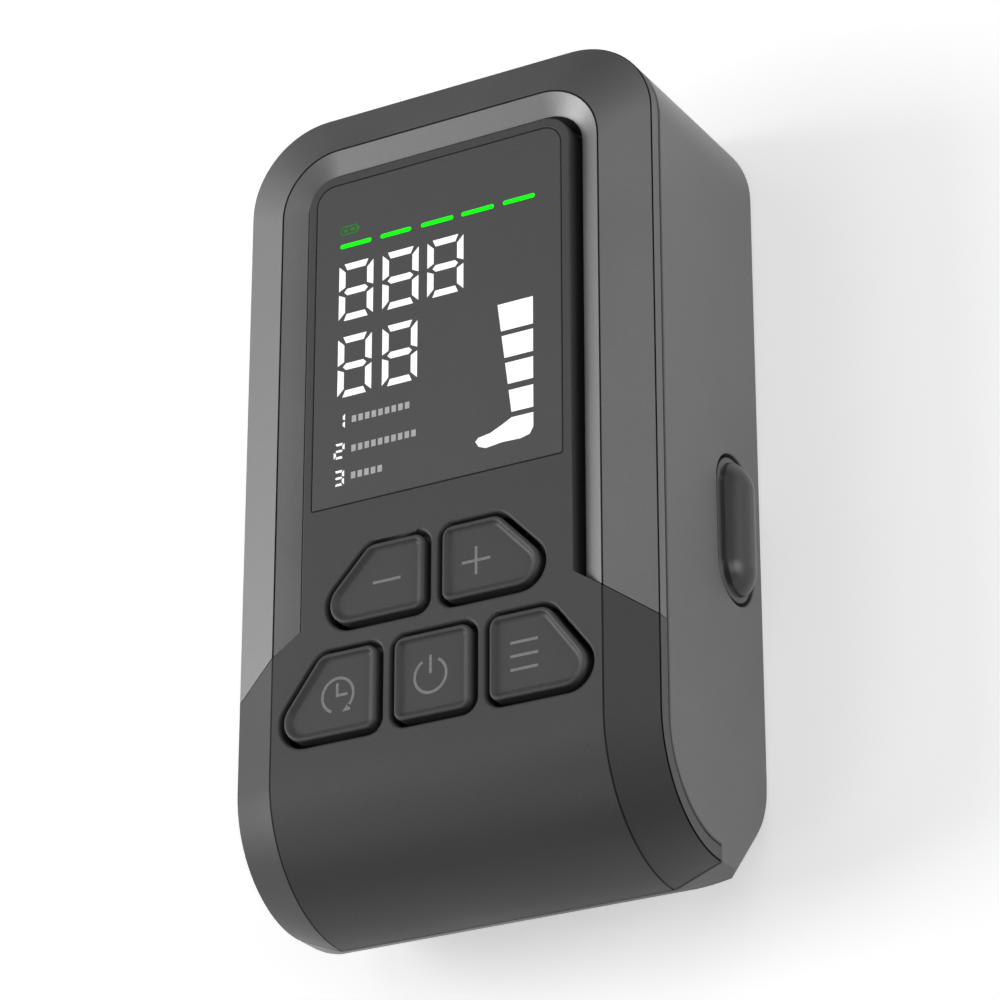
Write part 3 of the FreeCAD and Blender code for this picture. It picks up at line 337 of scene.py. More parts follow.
def score(shape, lines):
    """Cuts a fine V along the edges of each line, to the line's depth, and gives back its points.
    The V is in the piece's second material, a near-black that paints the shade of a gap into it."""
    corners = [(vert.co.copy(), depth) for edges, depth in lines for edge in edges for vert in edge.verts]
    places = KDTree(len(corners))
    for i, (corner, depth) in enumerate(corners):
        places.insert(corner, i)
    places.balance()
    scored = [edge for edges, depth in lines for edge in edges]
    cut = bmesh.ops.bevel(shape, geom=scored, offset=LINE_WIDTH / 2, segments=2, profile=0.5,
                          affect="EDGES", material=-1)
    shape.normal_update()
    sunk = []
    for vert in cut["verts"]:
        _, i, away = places.find(vert.co)
        if away < LINE_WIDTH * LINE_MIDDLE:
            sunk.append((vert, vert.normal * corners[i][1]))
    for vert, drop in sunk:
        vert.co -= drop
    # the V's faces take the near-black of painted shade
    for face in cut["faces"]:
        face.material_index = 1
        for edge in face.edges:
            edge.smooth = all(other in cut["faces"] for other in edge.link_faces)
    return set(cut["verts"])


def edges_between(edges, low, high):
    """The edges whose two faces meet at an angle between two limits, in degrees."""
    joined = [edge for edge in edges if len(edge.link_faces) == 2]
    return [edge for edge in joined if low < math.degrees(edge.calc_face_angle(0)) < high]


def score_cover(shape, outer_edges):
    """Scores the rim under the outer slopes, and both sides of the chin."""
    rim = [edge for edge in edges_between(outer_edges, *RIM_ANGLES) if edge.verts[0].co.z > RIM_LOW_Z]
    chin = edges_between(outer_edges, *CHIN_ANGLES)
    chin = [edge for edge in chin if max(abs(vert.co.x) for vert in edge.verts) < CHIN_HALF_WIDTH]
    return score(shape, [(rim, RIM_LINE_DEPTH), (chin, CHIN_LINE_DEPTH)])


face_plastic = moulded_plastic("face_plastic", FACE_GREY, 0.45, MOULD_GRAIN, GRAIN_DEEP, shine=0.3)
# near-black for the scored lines, as painted shade
shade_line_plastic = moulded_plastic("shade_line_plastic", LINE_SHADE_BLACK, 0.6, MOULD_GRAIN, GRAIN_DEEP, shine=0.2)
cover = soft_edged("front_cover", face_plastic, "case_plastic", KEY_OPENING_EDGE, cover_edge_width,
                   score_cover)
cover.data.materials.append(shade_line_plastic)

# ---- Frame ---------------------------------------------------------------------------------------------
# A separate trim over the upper end and down both sides, painted in a satin metallic grey. Fine lines are
# cut along its ridge and under its outer slope, with a near-black that paints the shade of a gap into
# them, and a groove is left between it and the raised face.
FRAME_GREY = (0.265, 0.265, 0.268)
FRAME_EDGE = 0.25 * mm
FRAME_RIDGE_DEPTH = 0.25 * mm
FRAME_SLOPE_DEEP = 3.4 * mm
FRAME_FOOT_RISE = 2.1 * mm
FRAME_FOOT_RADIUS = 4.22 * mm  # of the foot's corners, seen from above
FRAME_FOOT_BAND = 0.05 * mm  # points of the slope within this of its foot are at its foot
FRAME_GROOVE_LEFT, FRAME_GROOVE_RIGHT, FRAME_GROOVE_TOP = 0.75 * mm, 1.2 * mm, 0.7 * mm
FRAME_CUT_SLOPE = 0.67  # how far the diagonal cut falls for each step outward
FRAME_CUT_BAND = 0.5 * mm  # points this near to the lower end of the slope are on its diagonal cut


def shape_frame(shape, outer_edges):
    """Raises the foot of the inner slope and draws it back from the raised face, then scores the lines."""
    skin = {vert for edge in outer_edges for vert in edge.verts}
    foot_z = FACE_Z - FRAME_SLOPE_DEEP
    slope = [vert for vert in shape.verts if vert not in skin]
    slope = [vert for vert in slope if foot_z - FRAME_FOOT_BAND < vert.co.z < FACE_Z - LEVEL_GAP]
    foot = [vert for vert in slope if vert.co.z < foot_z + FRAME_FOOT_BAND]
    centre_x = max(vert.co.x for vert in foot) - FRAME_FOOT_RADIUS
    centre_y = max(vert.co.y for vert in foot) - FRAME_FOOT_RADIUS
    cut_y = min(vert.co.y for vert in foot)
    for vert in slope:
        x, y, z = vert.co
        share = (FACE_Z - z) / FRAME_SLOPE_DEEP
        outward = Vector((max(abs(x) - centre_x, 0), max(y - centre_y, 0))).normalized() * share
        groove = FRAME_GROOVE_RIGHT if x > 0 else FRAME_GROOVE_LEFT
        vert.co.x += math.copysign(outward.x * groove, x)
        vert.co.y += outward.y * FRAME_GROOVE_TOP
        if y < cut_y + FRAME_CUT_BAND:
            vert.co.y -= FRAME_CUT_SLOPE * groove * share
        vert.co.z += FRAME_FOOT_RISE * share
    shape.normal_update()
    ridge = [edge for edge in outer_edges if min(vert.co.z for vert in edge.verts) > FACE_Z - LEVEL_GAP]
    rim = [edge for edge in edges_between(outer_edges, *RIM_ANGLES) if edge not in ridge]
    return score(shape, [(rim, RIM_LINE_DEPTH), (ridge, FRAME_RIDGE_DEPTH)])


frame_paint = moulded_plastic("frame_paint", FRAME_GREY, 0.46, 0.16 * mm, 0.008 * mm)
satin = frame_paint.node_tree.nodes["Principled BSDF"]
satin.inputs["Metallic"].default_value = 0.8
satin.inputs["Specular Tint"].default_value = (0.1, 0.1, 0.1, 1)
trim = soft_edged("bezel_trim", frame_paint, "frame_plastic", FRAME_EDGE, reshape=shape_frame)
trim.data.materials.append(shade_line_plastic)

# ---- Display window ------------------------------------------------------------------------------------
# A flat panel of the face's own dark grey, let into the face over the display. It is so dark that only the
# lit parts of the display show through it.
window_panel = moulded_plastic("window_panel", FACE_GREY, 0.4, MOULD_GRAIN, 0.01 * mm)
soft_edged("display_window", window_panel, "window_plastic", WINDOW_EDGE)

# ---- Lit display ---------------------------------------------------------------------------------------
# What glows through the window, in thin patches: a battery sign and dashes over two rows of digits, three
# mode rows, each with a number and its level blocks, and a leg in four parts over a foot.
WINDOW_FRONT = WINDOW_HIGH.z
PATCH_THICK = 0.02 * mm
DISPLAY_WHITE, MODE_GREY = (0.9, 0.9, 0.9), (0.5, 0.5, 0.5)
DISPLAY_GREEN, BATTERY_GREEN = (0.004, 0.85, 0.004), (0.03, 0.3, 0.03)
BAR_GAP = 0.2824  # both are shares of a bar's width: the gap at a mitre, and how far a tip is cut back
BAR_TIP = 0.55
DIGIT_BAR = 1.0  # from here on in millimetres
DIGIT_ROWS = (  # lower and upper side of each row, then the left and right side of its digits
    (24.8, 33.6, ((-15.6, -10.1), (-8.6, -2.85), (-1.45, 4.25))),
    (13.1, 22.3, ((-15.6, -10.2), (-8.5, -2.95))),
)
MODE_ROWS = ((9.5, "bc", 9), (5.1, "abged", 10), (1.05, "abgcd", 5))  # middle, lit bars and blocks
MODE_NUMBER_LEFT, MODE_NUMBER_WIDE, MODE_NUMBER_HIGH, MODE_NUMBER_BAR = -16.0, 1.7, 2.3, 0.34
MODE_BLOCK_LEFT, MODE_BLOCK_STEP, MODE_BLOCK_WIDE, MODE_BLOCK_HIGH = -13.2, 1.05, 0.7, 1.0
LEG_LEFT, LEG_RIGHT, LEG_TOP, LEG_TAPER = 9.6, 15.05, 21.1, 0.13
LEG_PARTS = ((21.1, 17.0), (16.25, 12.9), (12.1, 8.9), (7.95, 4.65))  # upper and lower side of each
FOOT_OUTLINE = [
    (11.75, 3.85), (LEG_RIGHT, 3.85), (LEG_RIGHT, 1.75), (14.5, 0.8), (13.1, 0.45), (10.3, 0.55),
    (7.8, 0.25), (6.7, 0.7), (6.2, 1.5), (6.65, 2.0), (8.5, 2.3), (10.3, 3.1),
]
DASH_LOW, DASH_HIGH = 36.12, 36.78
DASH_CORNER_WIDE, DASH_CORNER_HIGH = 0.2, 0.18
DASHES = ((-15.5, -10.5), (-9.0, -4.1), (-2.5, 2.6), (3.9, 9.0), (10.45, 15.4))  # left and right side
BATTERY_SIGN = (  # left, right, lower and upper side of the outline's bars, the tip and two charge blocks
    (-15.3, -12.9, 39.35, 39.55), (-15.3, -12.9, 38.15, 38.35), (-15.5, -15.3, 38.35, 39.35),
    (-12.9, -12.7, 38.35, 39.35), (-12.65, -12.45, 38.6, 39.1), (-15.0, -14.3, 38.65, 39.05),
    (-13.9, -13.2, 38.65, 39.05),
)


def glowing(name, colour, strength, blotch, uneven=0.12):
    """Ink or a lit segment, a little uneven in its light as a display's diffuser leaves it."""
    material, nodes, links, lit = blank_material(name)
    place = nodes.new("ShaderNodeTexCoord")
    noise = nodes.new("ShaderNodeTexNoise")
    noise.inputs["Scale"].default_value = 1 / blotch
    tone = tone_ramp(nodes, shaded(colour, 1 - uneven), shaded(colour, 1 + uneven))
    links.new(place.outputs["Object"], noise.inputs["Vector"])
    links.new(noise.outputs["Fac"], tone.inputs["Fac"])
    links.new(tone.outputs["Color"], lit.inputs["Base Color"])
    if strength:
        links.new(tone.outputs["Color"], lit.inputs["Emission Color"])
        lit.inputs["Emission Strength"].default_value = strength
    lit.inputs["Roughness"].default_value = 0.5
    lit.inputs["Specular IOR Level"].default_value = 0.1
    return material


def add_patch(shape, points, z):
    """A thin flat patch through a few corner points, in millimetres, at a height in metres."""
    patch = shape.faces.new([shape.verts.new((x * mm, y * mm, z)) for x, y in points])
    patch.normal_update()
    if patch.normal.z < 0:
        patch.normal_flip()
    raised = bmesh.ops.extrude_face_region(shape, geom=[patch])["geom"]
    lifted = [part for part in raised if isinstance(part, bmesh.types.BMVert)]
    bmesh.ops.translate(shape, verts=lifted, vec=(0, 0, PATCH_THICK))


def add_bar(shape, left, right, low, high, z):
    """A patch with level and upright sides."""
    add_patch(shape, [(left, low), (right, low), (right, high), (left, high)], z)


def add_digit(shape, left, right, low, high, bar, lit="abcdefg"):
    """A display digit of up to seven bars, a at the top and g in the middle, with mitred ends."""
    gap = bar * BAR_GAP
    tip = gap + bar * BAR_TIP
    half = bar / 2
    middle = (low + high) / 2
    uprights = {"b": (right, right - bar, middle, high), "c": (right, right - bar, low, middle),
                "f": (left, left + bar, middle, high), "e": (left, left + bar, low, middle)}
    outlines = {}
    for name, (outer, inner, foot, head) in uprights.items():
        inner_foot = foot + (bar if foot == low else half)
        inner_head = head - (half if foot == low else bar)
        outlines[name] = [(outer, foot + gap), (inner, inner_foot + gap),
                          (inner, inner_head - gap), (outer, head - gap)]
    outlines["a"] = [(left + tip, high), (right - tip, high),
                     (right - bar - gap, high - bar), (left + bar + gap, high - bar)]
    outlines["d"] = [(left + tip, low), (left + bar + gap, low + bar),
                     (right - bar - gap, low + bar), (right - tip, low)]
    outlines["g"] = [(left + tip, middle), (left + tip + half, middle + half),
                     (right - tip - half, middle + half), (right - tip, middle),
                     (right - tip - half, middle - half), (left + tip + half, middle - half)]
    for name, outline in outlines.items():
        if name in lit:
            add_patch(shape, outline, WINDOW_FRONT)


def lay_print(name, shape, material, body, slot):
    """Makes a piece of finished patches, on the body that carries them."""
    bmesh.ops.recalc_face_normals(shape, faces=shape.faces)
    data = bpy.data.meshes.new(name)
    shape.to_mesh(data)
    shape.free()
    data.materials.append(material)
    return link_piece(name, data, body, slot)


white_light = glowing("white_light", DISPLAY_WHITE, 0.6, 1.5 * mm, 0.05)
green_light = glowing("green_light", DISPLAY_GREEN, 0.9, 1.5 * mm)
dim_green = glowing("dim_green", BATTERY_GREEN, 0.1, 0.8 * mm)
mode_light = glowing("mode_light", MODE_GREY, 0.15, 1.5 * mm, 0.05)

digits = bmesh.new()
for low, high, columns in DIGIT_ROWS:
    for left, right in columns:
        add_digit(digits, left, right, low, high, DIGIT_BAR)
lay_print("display_digits", digits, white_light, "casing", "display_glass")

mode_numbers, mode_levels = bmesh.new(), bmesh.new()
for y, lit, blocks in MODE_ROWS:
    low, high = y - MODE_NUMBER_HIGH / 2, y + MODE_NUMBER_HIGH / 2
    add_digit(mode_numbers, MODE_NUMBER_LEFT, MODE_NUMBER_LEFT + MODE_NUMBER_WIDE, low, high,
              MODE_NUMBER_BAR, lit)
    low, high = y - MODE_BLOCK_HIGH / 2, y + MODE_BLOCK_HIGH / 2
    for i in range(blocks):
        left = MODE_BLOCK_LEFT + i * MODE_BLOCK_STEP
        add_bar(mode_levels, left, left + MODE_BLOCK_WIDE, low, high, WINDOW_FRONT)
lay_print("display_mode_numbers", mode_numbers, white_light, "casing", "display_glass")
lay_print("display_mode_levels", mode_levels, mode_light, "casing", "display_glass")

leg = bmesh.new()
for high, low in LEG_PARTS:
    upper_left = LEG_LEFT + (LEG_TOP - high) * LEG_TAPER
    lower_left = LEG_LEFT + (LEG_TOP - low) * LEG_TAPER
    outline = [(upper_left, high), (lower_left, low), (LEG_RIGHT, low), (LEG_RIGHT, high)]
    add_patch(leg, outline, WINDOW_FRONT)
add_patch(leg, FOOT_OUTLINE, WINDOW_FRONT)
lay_print("display_leg", leg, white_light, "casing", "display_glass")

dashes = bmesh.new()
for left, right in DASHES:
    outline = [(left + DASH_CORNER_WIDE, DASH_LOW), (right - DASH_CORNER_WIDE, DASH_LOW),
               (right, DASH_LOW + DASH_CORNER_HIGH), (right, DASH_HIGH - DASH_CORNER_HIGH),
               (right - DASH_CORNER_WIDE, DASH_HIGH), (left + DASH_CORNER_WIDE, DASH_HIGH),
               (left, DASH_HIGH - DASH_CORNER_HIGH), (left, DASH_LOW + DASH_CORNER_HIGH)]
    add_patch(dashes, outline, WINDOW_FRONT)
lay_print("display_dashes", dashes, green_light, "casing", "display_glass")

battery_sign = bmesh.new()
for bar in BATTERY_SIGN:
    add_bar(battery_sign, *bar, WINDOW_FRONT)
lay_print("display_battery_sign", battery_sign, dim_green, "casing", "display_glass")

# ---- Keys ----------------------------------------------------------------------------------------------
# Five loose keys of the face's plastic, each a shallow tray inside a soft rim. Two tabs under the face
# keep each from falling out, and a stem under it reaches its switch.
KEY_CLEAR = 0.2  # the keys' sizes are in millimetres
KEY_EDGE = 0.3
KEY_RIM_FLAT = 0.25
KEY_TRAY_STEPS = ((0.1, -0.14), (0.14, -0.15), (0.18, -0.13), (0.2, -0.08), (0.16, -0.03))
KEY_TAB_WIDTH, KEY_TAB_THICK = 6.0, 1.3
KEY_TAB_SHIFT = 4.6  # keeps the upper tab of a slanted key out of sight
KEY_BOTTOM, KEY_TOP = (corner.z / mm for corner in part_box("key_power"))
KEY_OUTLINES = {  # x, y and radius of each corner, for the two keys on the right and the middle one
    "plus": ((1.2, -21.0, 1.7), (20.542, -21.0, 3.3), (9.98, -9.9, 2.5), (1.2, -9.9, 1.7)),
    "mode": ((8.4, -36.55, 1.7), (26.27, -36.55, 3.3), (17.25, -24.35, 2.5), (8.4, -24.35, 1.7)),
    "power": ((-6.0, -36.55, 1.7), (6.0, -36.55, 1.7), (6.0, -24.35, 1.7), (-6.0, -24.35, 1.7)),
}
KEYS = {  # each key with its outline, which is mirrored for a key on the left
    "plus": "plus", "minus": "plus", "mode": "mode", "timer": "mode", "power": "power",
}
CREASE_ANGLE = 62  # a piece's edges that turn further, in degrees, are sharp
ARC_JOIN_GAP = 0.05 * mm  # the ends of two arcs that are nearer than this are joined


def rounded_outline(shape, corners, z, steps=8):
    """A face whose corners are spun round to their own radius, given anticlockwise in millimetres."""
    ends = []
    for i, (x, y, radius) in enumerate(corners):
        here = Vector((x, y, z)) * mm
        behind = Vector((*corners[i - 1][:2], z)) * mm
        ahead = Vector((*corners[(i + 1) % len(corners)][:2], z)) * mm
        back, on = (behind - here).normalized(), (ahead - here).normalized()
        half = back.angle(on) / 2
        centre = here + (back + on).normalized() * radius * mm / math.sin(half)
        first = shape.verts.new(here + back * radius * mm / math.tan(half))
        turned = bmesh.ops.spin(shape, geom=[first], cent=centre, axis=(0, 0, 1),
                                angle=math.pi - 2 * half, steps=steps, use_merge=False)
        ends.append((first, turned["geom_last"][0]))
    for i, (first, last) in enumerate(ends):
        shape.edges.new((last, ends[(i + 1) % len(ends)][0]))
    bmesh.ops.remove_doubles(shape, verts=shape.verts, dist=ARC_JOIN_GAP)
    bmesh.ops.contextual_create(shape, geom=shape.edges[:])
    face = shape.faces[:][-1]
    face.normal_update()
    if face.normal.z < 0:
        face.normal_flip()
    return face


def raise_steps(shape, face, steps):
    """Insets a face again and again, by a width and a rise in millimetres each time."""
    for width, rise in steps:
        bmesh.ops.inset_region(shape, faces=[face], thickness=width * mm, depth=rise * mm,
                               use_even_offset=True, use_boundary=True)
    return face


def round_over(radius, count=4):
    """Steps in and up that follow a quarter circle from an upright side to a flat top."""
    angles = [math.pi / 2 * i / count for i in range(count + 1)]
    return [(radius * (math.cos(start) - math.cos(end)), radius * (math.sin(end) - math.sin(start)))
            for start, end in zip(angles, angles[1:])]


def add_block(shape, low, high):
    """A plain block between two corners in millimetres, for hidden keepers."""
    low, high = Vector(low) * mm, Vector(high) * mm
    block = bmesh.ops.create_cube(shape, size=1)["verts"]
    bmesh.ops.scale(shape, verts=block, vec=high - low)
    bmesh.ops.translate(shape, verts=block, vec=(low + high) / 2)


def place_piece(name, shape, material, body, slot, *nodes):
    """Makes a piece of a finished shape, smooth but flat on its large faces, in the place of CAD nodes."""
    for face in shape.faces:
        face.smooth = True
    for edge in shape.edges:
        if len(edge.link_faces) == 2 and edge.calc_face_angle(0) > math.radians(CREASE_ANGLE):
            edge.smooth = False
    data = bpy.data.meshes.new(name)
    shape.to_mesh(data)
    shape.free()
    data.materials.append(material)
    piece = link_piece(name, data, body, slot, *nodes)
    piece.modifiers.new("flat_faces", "WEIGHTED_NORMAL").keep_sharp = True
    return piece


def finish_node(node, material):
    """Gives a CAD node that keeps its own shape a material."""
    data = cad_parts[node].data
    data.materials.clear()
    data.materials.append(material)


key_plastic = moulded_plastic("key_plastic", FACE_GREY, 0.45, MOULD_GRAIN, GRAIN_DEEP, shine=0.3)
for key, outline in KEYS.items():
    cap = bmesh.new()
    base = rounded_outline(cap, KEY_OUTLINES[outline], KEY_BOTTOM)
    ring = bmesh.ops.inset_region(cap, faces=[base], thickness=KEY_CLEAR * mm, use_even_offset=True,
                                  use_boundary=True)["faces"]
    bmesh.ops.delete(cap, geom=ring, context="FACES")
    top = raise_steps(cap, base, [(0, KEY_TOP - KEY_EDGE - KEY_BOTTOM)] + round_over(KEY_EDGE))
    raise_steps(cap, top, [(KEY_RIM_FLAT, 0)] + list(KEY_TRAY_STEPS))
    bmesh.ops.holes_fill(cap, edges=[edge for edge in cap.edges if edge.is_boundary])
    low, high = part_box("key_" + outline)
    middle_x, middle_y = (low.x + high.x) / 2 / mm, (low.y + high.y) / 2 / mm
    left, right = middle_x - KEY_TAB_WIDTH / 2, middle_x + KEY_TAB_WIDTH / 2
    shift = 0 if key == "power" else KEY_TAB_SHIFT
    tab_top = KEY_BOTTOM + KEY_TAB_THICK
    add_block(cap, (left, low.y / mm, KEY_BOTTOM), (right, middle_y, tab_top))
    add_block(cap, (left - shift, middle_y, KEY_BOTTOM), (right - shift, high.y / mm, tab_top))
    if outline != key:
        bmesh.ops.scale(cap, verts=cap.verts, vec=(-1, 1, 1))
    bmesh.ops.recalc_face_normals(cap, faces=cap.faces)
    place_piece("key_cap_" + key, cap, key_plastic, "key_" + key, "key_plastic", "key_" + key)
    finish_node("switch_stem_" + key, key_plastic)

# ---- Key signs -----------------------------------------------------------------------------------------
# Plain signs in dull grey ink, printed in the trays of the keys. The mode key has three level bars.
TRAY_Z = KEY_TOP * mm + sum(drop for width, drop in KEY_TRAY_STEPS) * mm
INK_GREY = (0.3, 0.3, 0.3)
INK_LINE = 0.4  # the signs' sizes are in millimetres
SIGN_BARS = {  # left, right, lower and upper side of each sign's straight bars
    "minus": ((-9.5, -5.2, -15.8, -15.4),),
    "plus": ((4.2, 8.5, -15.9, -15.5), (6.15, 6.55, -17.7, -15.9), (6.15, 6.55, -15.5, -13.7)),
    "power": ((-0.7, -0.3, -30.3, -27.7),),
    "timer": ((-15.0, -14.6, -30.85, -28.9), (-14.6, -13.2, -30.85, -30.45)),
    "mode": ((11.5, 15.6, -28.8, -28.4), (11.5, 15.6, -30.7, -30.3), (11.5, 15.6, -32.6, -32.2)),
}
SIGN_RINGS = {  # x and y of the middle, radius, and the angles in degrees between which the ring runs
    "power": (-0.5, -30.6, 2.4, 120, 420),
    "timer": (-14.7, -30.6, 2.4, -48, 246),
}
SIGN_ARROWS = {"timer": [(-14.0, -33.1), (-12.65, -33.0), (-13.1, -31.95)]}
RING_STEPS = 32


def add_ring(shape, x, y, radius, start, end):
    """Part of a flat ring, in short patches."""
    turns = [math.radians(start + (end - start) * i / RING_STEPS) for i in range(RING_STEPS + 1)]
    inner, outer = radius - INK_LINE / 2, radius + INK_LINE / 2
    for this, following in zip(turns, turns[1:]):
        corners = ((inner, this), (outer, this), (outer, following), (inner, following))
        outline = [(x + reach * math.cos(turn), y + reach * math.sin(turn)) for reach, turn in corners]
        add_patch(shape, outline, TRAY_Z)


sign_ink = glowing("sign_ink", INK_GREY, 0.0, 0.4 * mm)
for key, bars in SIGN_BARS.items():
    sign = bmesh.new()
    if key in SIGN_RINGS:
        add_ring(sign, *SIGN_RINGS[key])
    for bar in bars:
        add_bar(sign, *bar, TRAY_Z)
    if key in SIGN_ARROWS:
        add_patch(sign, SIGN_ARROWS[key], TRAY_Z)
    lay_print("sign_" + key, sign, sign_ink, "key_" + key, "display_glass")

# ---- Release buttons -----------------------------------------------------------------------------------
# A glossy pill in each side wall, crowned inside a flat rim. Pressed in, it pushes its slide's barbed hook
# clear of the dock's catch. A plate inside the wall keeps it from falling out.
BUTTON_BLACK, BUTTON_RIM_GREY = (0.04, 0.04, 0.041), (0.085, 0.085, 0.086)
BUTTON_LOW, BUTTON_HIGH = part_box("release_button_right")
BUTTON_BASE = BUTTON_LOW.x / mm  # the sizes below are in millimetres too
BUTTON_GAP, BUTTON_KEEPER, BUTTON_KEEPER_THICK = 0.35, 0.6, 1.3
BUTTON_CLEAR = 0.12
BUTTON_END_FLAT = 0.01  # keeps the arcs of an end's two corners apart until they are joined
BUTTON_RIM_X, BUTTON_RIM_WIDE, BUTTON_RIM_ROUND = 31.8, 0.7, 0.15
BUTTON_FOOT_WIDE, BUTTON_FOOT_HIGH = 0.1, 0.08
BUTTON_FLANK_HIGH, BUTTON_FLANK_LEAN = 0.6, 0.04
BUTTON_RIDGE = 0.35
BUTTON_DOME_RADIUS = 4.8
BUTTON_HALF_LONG = (BUTTON_HIGH.y - BUTTON_LOW.y) / 2 / mm - BUTTON_KEEPER - BUTTON_GAP
BUTTON_HALF_WIDE = (BUTTON_HIGH.z - BUTTON_LOW.z) / 2 / mm


def dome_steps(half, radius, count):
    """Steps in and up over a shallow arc, from its edge nearly to its middle."""
    widths = [half * (1 - i / count) for i in range(count)]
    heights = [math.sqrt(radius ** 2 - width ** 2) for width in widths]
    return [(widths[i] - widths[i + 1], heights[i + 1] - heights[i]) for i in range(count - 1)]


rim_plastic = moulded_plastic("rim_plastic", BUTTON_RIM_GREY, 0.4, MOULD_GRAIN, GRAIN_DEEP)
button_plastic = moulded_plastic("button_plastic", BUTTON_BLACK, 0.32, MOULD_GRAIN, 0.006 * mm)
half_long, half_wide = BUTTON_HALF_LONG - BUTTON_CLEAR, BUTTON_HALF_WIDE - BUTTON_CLEAR
end_radius = half_wide - BUTTON_END_FLAT
rim_rise = BUTTON_RIM_X - BUTTON_RIM_ROUND - BUTTON_BASE
ridge_steps = round_over(BUTTON_RIDGE, 3)[:2]
flank_wide = BUTTON_FOOT_WIDE + BUTTON_FLANK_LEAN + sum(width for width, rise in ridge_steps)
dome_half = half_wide - BUTTON_RIM_WIDE - flank_wide
plate_half_long = BUTTON_HALF_LONG + BUTTON_GAP + BUTTON_KEEPER
middle = (BUTTON_LOW + BUTTON_HIGH) / 2
for side, outward in (("right", 1), ("left", -1)):
    pill = bmesh.new()
    corners = [(x, y, end_radius) for x, y in ((-half_long, -half_wide), (half_long, -half_wide),
                                               (half_long, half_wide), (-half_long, half_wide))]
    base = rounded_outline(pill, corners, BUTTON_BASE, 12)
    crown = raise_steps(pill, base, [(0, rim_rise)] + round_over(BUTTON_RIM_ROUND, 2))
    raise_steps(pill, crown, [(BUTTON_RIM_WIDE - BUTTON_RIM_ROUND, 0)])
    crown.material_index = 1
    raise_steps(pill, crown, [(BUTTON_FOOT_WIDE, BUTTON_FOOT_HIGH),
                              (BUTTON_FLANK_LEAN, BUTTON_FLANK_HIGH - BUTTON_FOOT_HIGH)])
    raise_steps(pill, crown, ridge_steps)
    raise_steps(pill, crown, dome_steps(dome_half, BUTTON_DOME_RADIUS, 12))
    add_block(pill, (-plate_half_long, -BUTTON_HALF_WIDE, BUTTON_BASE),
              (plate_half_long, BUTTON_HALF_WIDE, BUTTON_BASE + BUTTON_KEEPER_THICK))
    bmesh.ops.holes_fill(pill, edges=[edge for edge in pill.edges if edge.is_boundary])
    stand = Matrix(((0, 0, outward, 0), (1, 0, 0, middle.y), (0, 1, 0, middle.z), (0, 0, 0, 1)))
    bmesh.ops.transform(pill, matrix=stand, verts=pill.verts)
    bmesh.ops.recalc_face_normals(pill, faces=pill.faces)
    button = place_piece("release_pill_" + side, pill, rim_plastic, "release_" + side, "button_plastic",
                         "release_button_" + side)
    button.data.materials.append(button_plastic)
    finish_node("latch_slide_" + side, key_plastic)

# ---- Case screws ---------------------------------------------------------------------------------------
# Two zinc-plated screws with six-lobed heads, sunk in the back. They run through the rear case's posts and
# bite into the front cover's.
SCREW_GREY = (0.5, 0.5, 0.51)
SCREW_PLACES = ((-25.8, -40.5), (25.8, -40.5))  # the screws' sizes are in millimetres
SCREW_PROFILE = [  # radius and height, from the rim of the head to the end of the plain shank
    (2.1, 1.0), (2.35, 1.2), (2.4, 1.6), (2.4, 2.6), (1.25, 2.6), (1.25, 13.6),
]
SCREW_THREAD_START, SCREW_THREAD_END, SCREW_PITCH = 14.2, 20.4, 0.62
SCREW_CORE, SCREW_TIP = 0.95, 0.45
SCREW_LOBES, SCREW_LOBE_POINTS = 6, 4
SCREW_LOBE_RADIUS, SCREW_LOBE_PINCH, SCREW_LOBE_DEEP, SCREW_LOBE_LEAN = 1.25, 0.8, 0.95, 0.04
SCREW_CREASE_ANGLE = 40


def brushed_steel(name, colour, roughness, grain, stretch):
    """Bare or plated steel with fine drawn lines, which run where stretch is small."""
    material, nodes, links, steel = blank_material(name)
    place = nodes.new("ShaderNodeTexCoord")
    drawn = nodes.new("ShaderNodeMapping")
    drawn.inputs["Scale"].default_value = stretch
    lines = nodes.new("ShaderNodeTexNoise")
    lines.inputs["Scale"].default_value = 1 / grain
    lines.inputs["Detail"].default_value = 4
    tone = tone_ramp(nodes, shaded(colour, 0.8), colour)
    gloss = gloss_range(nodes, 0.3, 0.7, roughness, 0.08)
    bump = nodes.new("ShaderNodeBump")
    bump.inputs["Strength"].default_value = 0.4
    bump.inputs["Distance"].default_value = 0.01 * mm
    links.new(place.outputs["Object"], drawn.inputs["Vector"])
    links.new(drawn.outputs["Vector"], lines.inputs["Vector"])
    links.new(lines.outputs["Fac"], tone.inputs["Fac"])
    links.new(lines.outputs["Fac"], gloss.inputs["Value"])
    links.new(lines.outputs["Fac"], bump.inputs["Height"])
    links.new(tone.outputs["Color"], steel.inputs["Base Color"])
    links.new(gloss.outputs["Result"], steel.inputs["Roughness"])
    links.new(bump.outputs["Normal"], steel.inputs["Normal"])
    steel.inputs["Metallic"].default_value = 1.0
    return material


